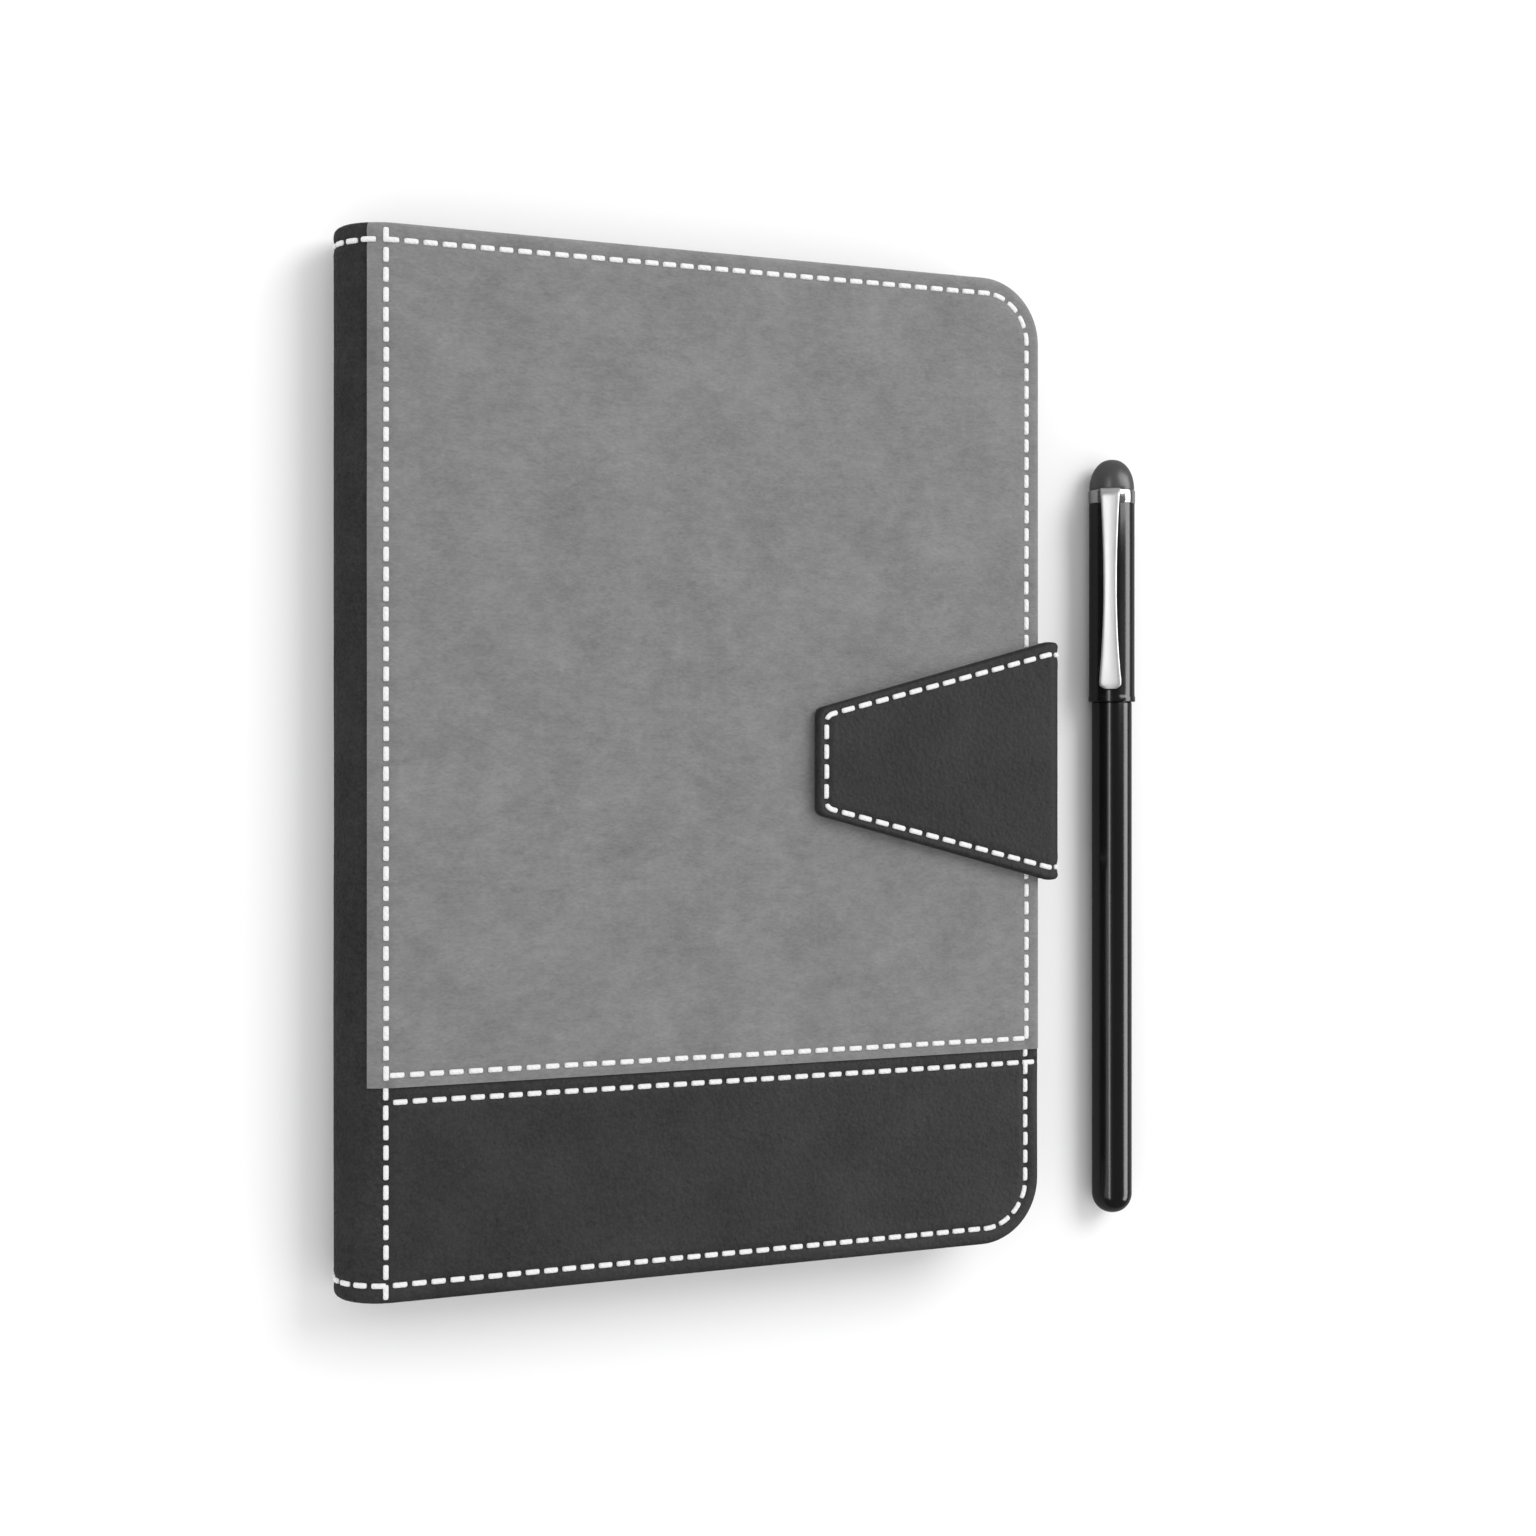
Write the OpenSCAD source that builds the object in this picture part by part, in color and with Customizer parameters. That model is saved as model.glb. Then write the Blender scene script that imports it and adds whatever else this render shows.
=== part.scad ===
// Touch-screen personal digital assistant in a stitched leather folio, with a capped stylus pen.
// The closed folio lies on its back cover. X runs from the spine to the fore edge, Y from tail to
// head and Z up out of the front cover. The origin is the centre of the back cover's underside.

/* [Folio] */
// Height of the covers, from tail to head
folio_h = 190; // [188:1:194]
// Width of the closed folio, from the spine to the fore edge
folio_w = 140; // [139.5:0.5:142]
// Thickness of the closed folio over the grey panel, without the tab
folio_t = 18; // [18:0.1:18.6]
// Radius of each cover's two fore corners
corner_r = 12.5; // [9:0.5:14]
// Height of the black band left bare at the tail of the front cover
band_h = 38; // [30:1:46]

/* [Layers] */
// Thickness of the black leather that wraps the covers and spine
leather_t = 0.7; // [0.6:0.05:0.8]
// Thickness of the grey panel sewn over the black leather
panel_t = 0.5; // [0.4:0.05:0.6]
// Thickness of the stiff board in each cover
board_t = 1.9; // [1.7:0.05:2]
// Thickness of the fabric lining
lining_t = 0.5; // [0.4:0.05:0.6]
// Thickness of the curved stiffener slats in the spine
slat_t = 1.2; // [0.8:0.1:1.3]

/* [Closure tab] */
// Width of the tab where it bends round the fore edge
tab_w = 47; // [40:1:56]
// Width of the tab at its tip
tip_w = 20; // [16:1:26]
// Length of the tab over the front cover
tab_reach = 50.4; // [44:0.4:60]
// Thickness of the padded tab
tab_t = 2.2; // [2:0.1:2.4]
// Radius of the round magnet in the tab
magnet_r = 7; // [5:0.5:8]

/* [Device] */
// Width of the handheld
device_w = 119; // [116:1:119]
// Height of the handheld
device_h = 176; // [172:1:176]
// Thickness of the handheld
device_t = 9.5; // [9.4:0.1:9.5]
// Radius of the handheld's corners
device_r = 10; // [8:0.5:12]

/* [Pen] */
// Overall length of the pen with its cap on
pen_len = 156; // [150:1:160]
// Outer diameter of the cap
cap_d = 9.6; // [9.4:0.1:9.6]
// Outer diameter of the barrel
barrel_d = 8.2; // [8.1:0.1:8.3]
// Distance from the fore edge to the pen's axis
pen_gap = 25.2; // [24:0.2:30]
// Distance of the pen's middle below the folio's middle
pen_drop = 15.7; // [10:0.1:20]
// Lean of the clip from straight up, towards the spine
clip_lean = 36; // [0:1:45]

/* [Hidden] */
$fn = 64;

// Gap left between flat faces that belong to different moving bodies
face_gap = 0.05;
// Overlap of a cutting solid past the face that it cuts
past = 1;

// Folio levels and lines
fore_x = folio_w / 2;
head_y = folio_h / 2;
shell_z = folio_t - panel_t;                    // outside of the front cover's black leather
spine_r = shell_z / 2;                          // outside radius of the round spine
spine_x = -fore_x + spine_r;                    // centre line of the round spine
cover_t = leather_t + board_t + lining_t;
band_y = -head_y + band_h;                      // lower edge of the grey panel
panel_edge_a = 124;                             // angle round the spine where the grey panel ends
strip_a = 60;                                   // arc of each of the three spine strips
gap_a = 0.4;                                    // half-gap between spine strips, in degrees
fold_gap_a = 1.2;                               // room for the grey panel to fold at the front cover
thread_w = 1.1;
thread_t = 0.25;
thread_inset = 2.7;                             // cover edge to the near side of the thread

// Tab
bend_r = 3.4;                                   // outside radius of the tab's bends
tab_gap = 0.4;                                  // front panel to the tab's underside
bend_x = fore_x + 0.4;
bend_z = folio_t + tab_gap + tab_t - bend_r;    // centre of the upper bend
tab_lining_t = 0.5;
tip_r = 1.8;
tongue_t = 0.8;
tongue_l = 10;
magnet_t = 1;
magnet_x = fore_x - tab_reach + 16;             // centre of the magnet, back from the tip
tab_thread_inset = 1.5;

// Tray and handheld levels
tray_floor = 1;
tray_wall = 1.25;
tray_x1 = fore_x - 4;
device_x = tray_x1 - tray_wall - device_w / 2;  // centre line of the handheld
device_z = cover_t + tray_floor;
device_top = device_z + device_t;
housing_h = 7;
housing_wall = 1.5;
housing_floor = 1.2;
seam_z = device_z + housing_h;                  // where housing and bezel meet
chassis_z = device_z + 4.8;
chassis_t = 0.6;
glass_w = 109;
glass_y0 = -69;
glass_y1 = 75;
glass_h = glass_y1 - glass_y0;
glass_mid = (glass_y0 + glass_y1) / 2;
glass_play = 0.1;                               // gap round the glass
glass_t = 0.95;
glass_ledge = 1.5;
gasket_t = 0.15;
ledge_z = seam_z + 1.4;
bezel_hollow = 1.2;                             // depth of the hollow under the bezel
earpiece_x = -14;
earpiece_w = 12;
earpiece_h = 1.4;
home_y = -79;
home_r = 5.5;
key_play = 0.3;                                 // gap round each key
key_travel = 0.5;
power_play = 0.05;                              // wall to the key's flange
volume_play = 0.35;                             // the rocker needs more, to tip
flange_t = 1;
power_x = -35;
power_w = 9.4;
volume_y = 50;
volume_w = 21.4;
key_t = 2;
key_z = device_z + 4.2;
key_proud = 0.8;
jack_x = 40;
jack_z = device_z + 3.9;
jack_bore_r = 1.75;
jack_r = 2.45;
jack_l = 12;
camera_y = 82;
camera_r = 2.2;
board_z = device_z + 3.6;
board_thick = 0.8;
socket_t = 2.35;
socket_w = 7.5;
flex_t = 0.2;
main_board_y = 46;
main_board_h = 50;
charging_board_y = -76;
charging_board_h = 17;
screw_r = 0.9;
screw_head_r = 1.6;
screw_inset = 9;
screw_recess = 1;
boss_r = 2.6;
wall_cut = 4 * housing_wall;                    // depth of a cut through the housing's wall
battery_x = -8;
battery_y = -20;
display_flex_y = 60;

// Pen loop
loop_r = 4.85;
loop_t = 0.6;
loop_l = 22;
loop_y = 20;
loop_z = cover_t + loop_r + loop_t + face_gap;

// Pen, measured along its axis from the barrel's round end
pen_x = fore_x + pen_gap;
pen_z = cap_d / 2;
pen_y0 = -pen_drop - pen_len / 2;
dome_h = 6.4;
ring_h = 2.8;
cap_l = 41;
cap_s = pen_len - dome_h - ring_h - cap_l;      // mouth of the cap
ring_s = cap_s + cap_l;
dome_s = ring_s + ring_h;
barrel_r = barrel_d / 2;
bore_r = 3.1;
cap_bore_r = 4.05;
neck_r = 3.75;
neck_l = 6;
plug_l = 6;
grip_r = 3.55;
grip_l = 20;
cone_l = 9;
cone_tip = 6;                                   // length of the cone with only the point's narrow bore
nib_r = 1.2;
point_r = 0.5;
refill_r = 1.5;
ring_bore_r = 3;
slip = 0.02;                                    // gap of a part pushed into another
clip_l = 40.5;
clip_t = 0.8;
clip_top_w = 4;
clip_waist_w = 2.6;
clip_lift = 1.3;                                // cap surface to the clip's inner face
clip_r = cap_d / 2 + clip_lift;
clip_foot_r = 1.15;

// ---------- shared shapes ----------

// A closed outline in the XZ plane, drawn out along Y between two places
module along_y(y0, y1) {
    translate([0, y1, 0]) rotate([90, 0, 0]) linear_extrude(y1 - y0) children();
}

// A piece of a ring between two angles less than 120 degrees apart
module sector(r_in, r_out, a0, a1) {
    reach = 3 * r_out;
    mid = (a0 + a1) / 2;
    intersection() {
        difference() {
            circle(r_out);
            circle(r_in);
        }
        polygon([[0, 0], reach * [cos(a0), sin(a0)], reach * [cos(mid), sin(mid)], reach * [cos(a1), sin(a1)]]);
    }
}

// A rectangle with four round corners, centred on the origin
module round_rect(w, h, r) {
    square([w - 2 * r, h], center = true);
    square([w, h - 2 * r], center = true);
    for (sx = [-1, 1], sy = [-1, 1]) translate([sx * (w / 2 - r), sy * (h / 2 - r)]) circle(r);
}

// The outline of a cover, pulled in by inset on its three free sides, with its spine side at x0
module cover_outline(inset = 0, x0 = spine_x + face_gap) {
    r = corner_r - inset;
    x1 = fore_x - inset;
    y1 = head_y - inset;
    translate([x0, -y1]) square([x1 - r - x0, 2 * y1]);
    translate([x0, -y1 + r]) square([x1 - x0, 2 * (y1 - r)]);
    for (s = [-1, 1]) translate([x1 - r, s * (y1 - r)]) circle(r);
}

// The three layers of a cover, lying with the leather's outside at z = 0
module leather_pan() {
    difference() {
        linear_extrude(cover_t) cover_outline();
        translate([0, 0, leather_t]) linear_extrude(cover_t) cover_outline(leather_t, spine_x - past);
    }
}

module cover_board() {
    translate([0, 0, leather_t]) linear_extrude(board_t) cover_outline(leather_t);
}

module cover_lining() {
    translate([0, 0, leather_t + board_t]) linear_extrude(lining_t) cover_outline(leather_t);
}

// Places a cover layer on the front, with its outside facing up
module as_front() {
    translate([0, 0, shell_z]) mirror([0, 0, 1]) children();
}

// The band of thread that follows a cover's three free sides and its spine side
module cover_thread() {
    difference() {
        cover_outline(thread_inset);
        cover_outline(thread_inset + thread_w, spine_x - past);
    }
}

// One layer of one spine strip, between two radii
module spine_layer(r_in, r_out, a0) {
    translate([spine_x, 0, spine_r])
        along_y(-head_y, head_y) sector(r_in, r_out, a0 + gap_a, a0 + strip_a - gap_a);
}

module spine_leather(a0) {
    color("#343434") spine_layer(spine_r - leather_t, spine_r, a0);
}

module spine_slat(a0) {
    color("#8a7d66") spine_layer(spine_r - leather_t - slat_t, spine_r - leather_t, a0);
}

module spine_lining(a0) {
    r = spine_r - leather_t - slat_t;
    color("#4a4a4c") spine_layer(r - lining_t, r, a0);
}

// ---------- back cover ----------

module back_leather() {
    color("#343434") difference() {
        leather_pan();
        tab_tongue(face_gap);
    }
}

module back_board() {
    color("#8a7d66") difference() {
        cover_board();
        tab_tongue(face_gap);
    }
}

module back_lining() {
    color("#4a4a4c") cover_lining();
}

module back_stitching() {
    color("#f2f2f0") translate([0, 0, leather_t + board_t + lining_t])
        linear_extrude(thread_t) cover_thread();
}

// The tab's tongue, which is glued into the back cover's edge
module tab_tongue(room = 0) {
    translate([fore_x - tongue_l - room, -tab_w / 2 - room, leather_t - room])
        cube([tongue_l + bend_x - fore_x + room + face_gap, tab_w + 2 * room, tongue_t + 2 * room]);
}

module tab_root() {
    color("#343434") union() {
        tab_tongue();
        translate([bend_x, 0, bend_r])
            along_y(-tab_w / 2, tab_w / 2) sector(bend_r - tab_t, bend_r, -90, 0);
    }
}

module pen_loop() {
    color("#2c2c2e") translate([spine_x, 0, loop_z])
        along_y(loop_y - loop_l / 2, loop_y + loop_l / 2) difference() {
            circle(loop_r + loop_t);
            circle(loop_r);
        }
}

module holder_tray() {
    w = device_w + 2 * tray_wall;
    h = device_h + 2 * tray_wall;
    r = device_r + tray_wall;
    lip_z = device_top + face_gap;
    lip_t = 0.5;
    lip_reach = 1;
    low_z = device_z + 5.2;                     // top of the walls between the corners
    corner = 22;                                // length of full-height wall at each corner
    cut = 10;                                   // depth of a cut through a wall
    tall = 20;                                  // height of a cut, past the lips
    power_window = 18;
    jack_window = 12;
    volume_window = 30;
    socket_window = 16;
    color("#232325") translate([device_x, 0, 0]) difference() {
        translate([0, 0, cover_t]) linear_extrude(lip_z + lip_t - cover_t) round_rect(w, h, r);
        translate([0, 0, device_z]) linear_extrude(lip_z - device_z) round_rect(device_w, device_h, device_r);
        translate([0, 0, lip_z - past]) linear_extrude(lip_t + 2 * past)
            round_rect(device_w - 2 * lip_reach, device_h - 2 * lip_reach, device_r - lip_reach);
        for (s = [-1, 1]) {
            block(0, s * h / 2, low_z, w - 2 * corner, cut, tall);
            block(s * w / 2, 0, low_z, cut, h - 2 * corner, tall);
        }
        // Windows down to the floor for the keys and sockets
        block(power_x, h / 2, device_z, power_window, cut, tall);
        block(jack_x, h / 2, device_z, jack_window, cut, tall);
        block(w / 2, volume_y, device_z, cut, volume_window, tall);
        block(0, -h / 2, device_z, socket_window, cut, tall);
    }
}

// ---------- spine ----------

module spine_lower_leather() { spine_leather(270 - strip_a); }
module spine_lower_slat() { spine_slat(270 - strip_a); }
module spine_lower_lining() { spine_lining(270 - strip_a); }
module spine_middle_leather() { spine_leather(270 - 2 * strip_a); }
module spine_middle_slat() { spine_slat(270 - 2 * strip_a); }
module spine_middle_lining() { spine_lining(270 - 2 * strip_a); }
module spine_upper_leather() { spine_leather(90); }
module spine_upper_slat() { spine_slat(90); }
module spine_upper_lining() { spine_lining(90); }

// The edge of the grey panel that laps onto the spine
module spine_upper_panel() {
    color("#898989") translate([spine_x, 0, spine_r])
        along_y(band_y, head_y) sector(spine_r, spine_r + panel_t, 90 + fold_gap_a, panel_edge_a);
}

// ---------- front cover ----------

module front_leather() {
    color("#3a3a3a") as_front() leather_pan();
}

module front_panel() {
    x0 = spine_x + spine_r * sin(fold_gap_a);
    color("#898989") translate([0, 0, shell_z]) linear_extrude(panel_t) intersection() {
        cover_outline(0, x0);
        translate([x0 - past, band_y]) square([folio_w, folio_h]);
    }
}

module front_board() {
    color("#8a7d66") difference() {
        as_front() cover_board();
        keeper_block(face_gap);
    }
}

module front_lining() {
    color("#4a4a4c") as_front() cover_lining();
}

// Thread round the cover and along both sides of the seam between panel and band
module front_stitching() {
    seam_off = 2.2;
    x0 = spine_x + past;
    x1 = fore_x - thread_inset;
    color("#f2f2f0") {
        translate([0, 0, folio_t]) linear_extrude(thread_t) {
            intersection() {
                cover_thread();
                translate([x0, band_y]) square([folio_w, folio_h]);
            }
            translate([x0, band_y + seam_off - thread_w / 2]) square([x1 - x0, thread_w]);
        }
        translate([0, 0, shell_z]) linear_extrude(thread_t) {
            intersection() {
                cover_thread();
                translate([x0, band_y - folio_h]) square([folio_w, folio_h - face_gap]);
            }
            translate([x0, band_y - seam_off - thread_w / 2]) square([x1 - x0, thread_w]);
        }
    }
}

// The steel plate under the leather that the tab's magnet holds
module keeper_block(room = 0) {
    side = 18;
    t = 0.8;
    translate([magnet_x - side / 2 - room, -side / 2 - room, shell_z - leather_t - t - room])
        cube([side + 2 * room, side + 2 * room, t + 2 * room]);
}

module keeper_plate() {
    color("#b5b5b5") keeper_block();
}

// ---------- closure tab ----------

module tab_strip() {
    color("#343434") along_y(-tab_w / 2, tab_w / 2) {
        translate([bend_x + bend_r - tab_t, bend_r + face_gap]) square([tab_t, bend_z - bend_r - face_gap]);
        translate([bend_x, bend_z]) sector(bend_r - tab_t, bend_r, 0, 90);
    }
}

// The tapering flap, pulled in by inset, with its root at the bend
module flap_outline(inset = 0) {
    x0 = fore_x - tab_reach + inset;
    tip = tip_w / 2 - inset - tip_r;
    root = tab_w / 2 - inset;
    hull() {
        for (s = [-1, 1]) translate([x0 + tip_r, s * tip]) circle(tip_r, $fn = 32);
        translate([bend_x - face_gap - 0.1, -root]) square([0.1, 2 * root]);
    }
}

module tab_flap_leather() {
    z0 = folio_t + tab_gap + tab_lining_t;
    color("#343434") difference() {
        translate([0, 0, z0]) linear_extrude(tab_t - tab_lining_t) flap_outline();
        translate([magnet_x, 0, z0 - past]) cylinder(h = magnet_t + past + face_gap, r = magnet_r + face_gap);
    }
}

module tab_flap_lining() {
    color("#4a4a4c") translate([0, 0, folio_t + tab_gap]) linear_extrude(tab_lining_t) flap_outline();
}

module tab_magnet() {
    color("#b0b0b4") translate([magnet_x, 0, folio_t + tab_gap + tab_lining_t])
        cylinder(h = magnet_t, r = magnet_r);
}

module tab_stitching() {
    color("#f2f2f0") translate([0, 0, folio_t + tab_gap + tab_t]) linear_extrude(thread_t) difference() {
        flap_outline(tab_thread_inset);
        flap_outline(tab_thread_inset + thread_w);
        translate([bend_x - 2, -tab_w]) square([tab_w, 2 * tab_w]);
    }
}

// ---------- handheld ----------

// Everything in the handheld is drawn about its own centre line
module in_device() {
    translate([device_x, 0, 0]) children();
}

// A block given by its centre in the plane, its underside and its three sizes
module block(x, y, z, w, h, t) {
    translate([x - w / 2, y - h / 2, z]) cube([w, h, t]);
}

// The places of the four housing screws
module at_screws() {
    for (sx = [-1, 1], sy = [-1, 1])
        translate([sx * (device_w / 2 - screw_inset), sy * (device_h / 2 - screw_inset), device_z]) children();
}

module device_housing() {
    inner_w = device_w - 2 * housing_wall;
    inner_h = device_h - 2 * housing_wall;
    slot_h = key_t + 2 * key_play;
    color("#3b3b3e") in_device() difference() {
        union() {
            difference() {
                translate([0, 0, device_z]) linear_extrude(housing_h) round_rect(device_w, device_h, device_r);
                translate([0, 0, device_z + housing_floor]) linear_extrude(housing_h)
                    round_rect(inner_w, inner_h, device_r - housing_wall);
            }
            at_screws() cylinder(h = chassis_z - device_z, r = boss_r);
        }
        at_screws() {
            translate([0, 0, -past]) cylinder(h = past + screw_recess, r = screw_head_r + face_gap);
            cylinder(h = housing_h, r = screw_r + face_gap);
        }
        block(power_x, device_h / 2, key_z - key_play, power_w + 2 * key_play, wall_cut, slot_h);
        block(device_w / 2, volume_y, key_z - key_play, wall_cut, volume_w + 2 * key_play, slot_h);
        block(0, -device_h / 2, board_z - socket_t - key_play, socket_w + 3 * key_play, wall_cut,
              socket_t + 2 * key_play);
        translate([jack_x, device_h / 2 + past, jack_z]) rotate([90, 0, 0])
            cylinder(h = past + 2 * housing_wall, r = jack_r + face_gap);
    }
}

module front_bezel() {
    cut = device_top - seam_z + past;
    color("#1c1c1e") in_device() difference() {
        translate([0, 0, seam_z]) linear_extrude(device_top - seam_z) round_rect(device_w, device_h, device_r);
        translate([0, 0, seam_z - past]) linear_extrude(past + bezel_hollow)
            round_rect(device_w - 2 * housing_wall, device_h - 2 * housing_wall, device_r - housing_wall);
        block(0, glass_mid, ledge_z, glass_w, glass_h, cut);
        block(0, glass_mid, seam_z, glass_w - 2 * glass_ledge, glass_h - 2 * glass_ledge, cut);
        translate([0, home_y, seam_z]) cylinder(h = cut, r = home_r + key_play);
        translate([0, camera_y, seam_z]) cylinder(h = cut, r = camera_r);
        block(earpiece_x, camera_y, seam_z, earpiece_w, earpiece_h, cut);
    }
}

module screen_gasket() {
    color("#101010") in_device() difference() {
        block(0, glass_mid, ledge_z, glass_w - 2 * glass_play, glass_h - 2 * glass_play, gasket_t);
        block(0, glass_mid, ledge_z - past, glass_w - 2 * glass_ledge, glass_h - 2 * glass_ledge,
              gasket_t + 2 * past);
    }
}

module touch_glass() {
    color("#15181c") in_device()
        block(0, glass_mid, ledge_z + gasket_t, glass_w - 2 * glass_play, glass_h - 2 * glass_play, glass_t);
}

module display_panel() {
    border = 2.5;                               // glass left round the display
    z0 = chassis_z + chassis_t;
    color("#26323a") in_device()
        block(0, glass_mid, z0, glass_w - 2 * border, glass_h - 2 * border, ledge_z + gasket_t - z0);
}

// The plate that carries the display, cut away over the jack, the side keys and the display's cable
module chassis_plate() {
    play = 0.1;
    w = device_w - 2 * (housing_wall + play);
    h = device_h - 2 * (housing_wall + play);
    jack_cut = [8, 32];
    power_cut = [16, 16];
    volume_cut = [16, 28];
    cable_cut = [20, 4];
    color("#9a9a9e") in_device() translate([0, 0, chassis_z]) linear_extrude(chassis_t) difference() {
        round_rect(w, h, device_r - housing_wall);
        translate([jack_x, device_h / 2]) square(jack_cut, center = true);
        translate([power_x, device_h / 2]) square(power_cut, center = true);
        translate([device_w / 2, volume_y]) square(volume_cut, center = true);
        translate([0, display_flex_y]) square(cable_cut, center = true);
        for (sx = [-1, 1], sy = [-1, 1])
            translate([sx * (device_w / 2 - screw_inset), sy * (device_h / 2 - screw_inset)])
                circle(screw_r + face_gap);
    }
}

module battery() {
    w = 84;
    h = 74;
    t = 3.1;
    color("#30506a") in_device() block(battery_x, battery_y, device_z + housing_floor, w, h, t);
}

module main_board() {
    w = 100;
    color("#1f5a3a") in_device() block(0, main_board_y, board_z, w, main_board_h, board_thick);
}

// Three sheet-metal cans on the underside of the main board, open where they meet it
module shield_cans() {
    wall = 0.25;
    can_h = 1.9;
    centres = [-34, -4, 28];
    widths = [24, 26, 20];
    heights = [30, 34, 22];
    z0 = board_z - can_h;
    color("#c4c4c6") in_device() for (i = [0:2]) difference() {
        block(centres[i], main_board_y, z0, widths[i], heights[i], can_h);
        block(centres[i], main_board_y, z0 + wall, widths[i] - 2 * wall, heights[i] - 2 * wall, can_h);
    }
}

module charging_board() {
    w = 70;
    color("#1f5a3a") in_device() block(0, charging_board_y, board_z, w, charging_board_h, board_thick);
}

// A small metal shell under the charging board, with its mouth in the tail edge
module charging_socket() {
    wall = 0.3;
    l = 6.5;
    y = -device_h / 2 + wall + l / 2;
    color("#c4c4c6") in_device() difference() {
        block(0, y, board_z - socket_t, socket_w, l, socket_t);
        block(0, y - wall, board_z - socket_t + wall, socket_w - 2 * wall, l, socket_t - 2 * wall);
    }
}

module headphone_jack() {
    y1 = device_h / 2 - 0.2;                    // mouth, just inside the head edge
    body_w = 6.4;
    body_l = jack_l - 2;
    color("#18181a") in_device() difference() {
        union() {
            translate([jack_x, y1, jack_z]) rotate([90, 0, 0]) cylinder(h = jack_l, r = jack_r);
            block(jack_x, y1 - jack_l + body_l / 2, jack_z - jack_r, body_w, body_l, 2 * jack_r);
        }
        translate([jack_x, y1 + past, jack_z]) rotate([90, 0, 0])
            cylinder(h = jack_l + 2 * past, r = jack_bore_r);
    }
}

module speaker() {
    x = 46;
    y = -64;
    w = 18;
    h = 12;
    t = 3;
    color("#2a2a2c") in_device() block(x, y, device_z + housing_floor, w, h, t);
}

module vibration_motor() {
    x = -46;
    y = -72;
    r = 5;
    t = 2.7;
    color("#b8b8bc") in_device() translate([x, y, device_z + housing_floor]) cylinder(h = t, r = r);
}

module camera_module() {
    side = 6;
    z0 = chassis_z + chassis_t;
    z1 = seam_z + bezel_hollow - 0.1;
    color("#18181a") in_device() block(0, camera_y, z0, side, side, z1 - z0);
}

module camera_window() {
    recess = 0.1;
    t = 0.7;
    color("#202830") in_device() translate([0, camera_y, device_top - recess - t])
        cylinder(h = t, r = camera_r - face_gap);
}

// A flat cable from the display, down through the chassis to the main board
module display_flex() {
    w = 14;
    foot_l = 6;
    z0 = board_z + board_thick;
    color("#b5701f") in_device() {
        block(0, display_flex_y, z0 + flex_t, w, flex_t, chassis_z + chassis_t - z0 - flex_t);
        block(0, display_flex_y + (flex_t - foot_l) / 2, z0, w, foot_l, flex_t);
    }
}

// A flat cable over the battery, with its two ends on the charging board and the main board
module board_flex() {
    x = 28;
    w = 8;
    lap = 4.25;
    y0 = charging_board_y + charging_board_h / 2 - lap;
    y1 = main_board_y - main_board_h / 2 + lap;
    color("#b5701f") in_device() block(x, (y0 + y1) / 2, board_z + board_thick, w, y1 - y0, flex_t);
}

// Dome switches behind the three keys
module key_switches() {
    depth = 2;
    volume_spread = 7;
    home_side = 4;
    home_play = 0.1;
    // The key's flange is 1 thick and stands inside the wall by its play
    power_back = device_h / 2 - housing_wall - power_play - flange_t - key_travel;
    volume_back = device_w / 2 - housing_wall - volume_play - flange_t - key_travel;
    z0 = chassis_z + chassis_t;
    color("#8c8c90") in_device() {
        block(0, home_y, z0, home_side, home_side, seam_z - home_play - z0);
        block(power_x, power_back - face_gap - depth / 2, key_z, 2 * depth, depth, key_t);
        for (s = [-1, 1])
            block(volume_back - face_gap - depth / 2, volume_y + s * volume_spread, key_z, depth, 3, key_t);
    }
}

module housing_screws() {
    head_z = 0.2;
    color("#9c9ca0") in_device() at_screws() translate([0, 0, head_z]) {
        cylinder(h = screw_recess - head_z - face_gap, r = screw_head_r);
        cylinder(h = chassis_z + chassis_t - device_z - head_z, r = screw_r);
    }
}

// ---------- keys ----------

module home_button() {
    flange_h = 0.5;
    flange_z = seam_z + bezel_hollow - face_gap - flange_h;
    recess = 0.1;
    color("#2a2a2d") in_device() translate([0, home_y, flange_z]) {
        cylinder(h = flange_h, r = home_r + 1);
        cylinder(h = device_top - recess - flange_z, r = home_r);
    }
}

// A side key, lying with its face towards +Y: its face stands proud of the wall and its flange keeps it in
module side_key(w, flange_w, play) {
    flange_rise = 0.6;
    inner = -housing_wall - play;
    block(0, (inner + key_proud) / 2, key_z, w, key_proud - inner, key_t);
    block(0, inner - flange_t / 2, key_z - flange_rise, flange_w, flange_t, key_t + 2 * flange_rise);
}

module power_button() {
    color("#b8b8bc") in_device() translate([power_x, device_h / 2, 0])
        side_key(power_w, power_w + 3, power_play);
}

module volume_rocker() {
    color("#b8b8bc") in_device() translate([device_w / 2, volume_y, 0]) rotate(-90)
        side_key(volume_w, volume_w - 6, volume_play);
}

// ---------- pen ----------

// Places a shape drawn up the Z axis along the pen, s from the barrel's round end
module on_pen(s = 0) {
    translate([pen_x, pen_y0 + s, pen_z]) rotate([-90, 0, 0]) children();
}

module tube(h, r_out, r_in) {
    difference() {
        cylinder(h = h, r = r_out);
        translate([0, 0, -past]) cylinder(h = h + 2 * past, r = r_in);
    }
}

// A dome that ends a rod of radius r, its rim at z = 0 and its top at z = r
module half_ball(r) {
    rotate_extrude() intersection() {
        circle(r);
        square(r);
    }
}

module pen_barrel() {
    shoulder = cap_s - face_gap;
    color("#141416") union() {
        on_pen(barrel_r) tube(shoulder - barrel_r, barrel_r, bore_r);
        on_pen(shoulder - 0.5) tube(neck_l + 0.5, neck_r, bore_r);
    }
}

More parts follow.
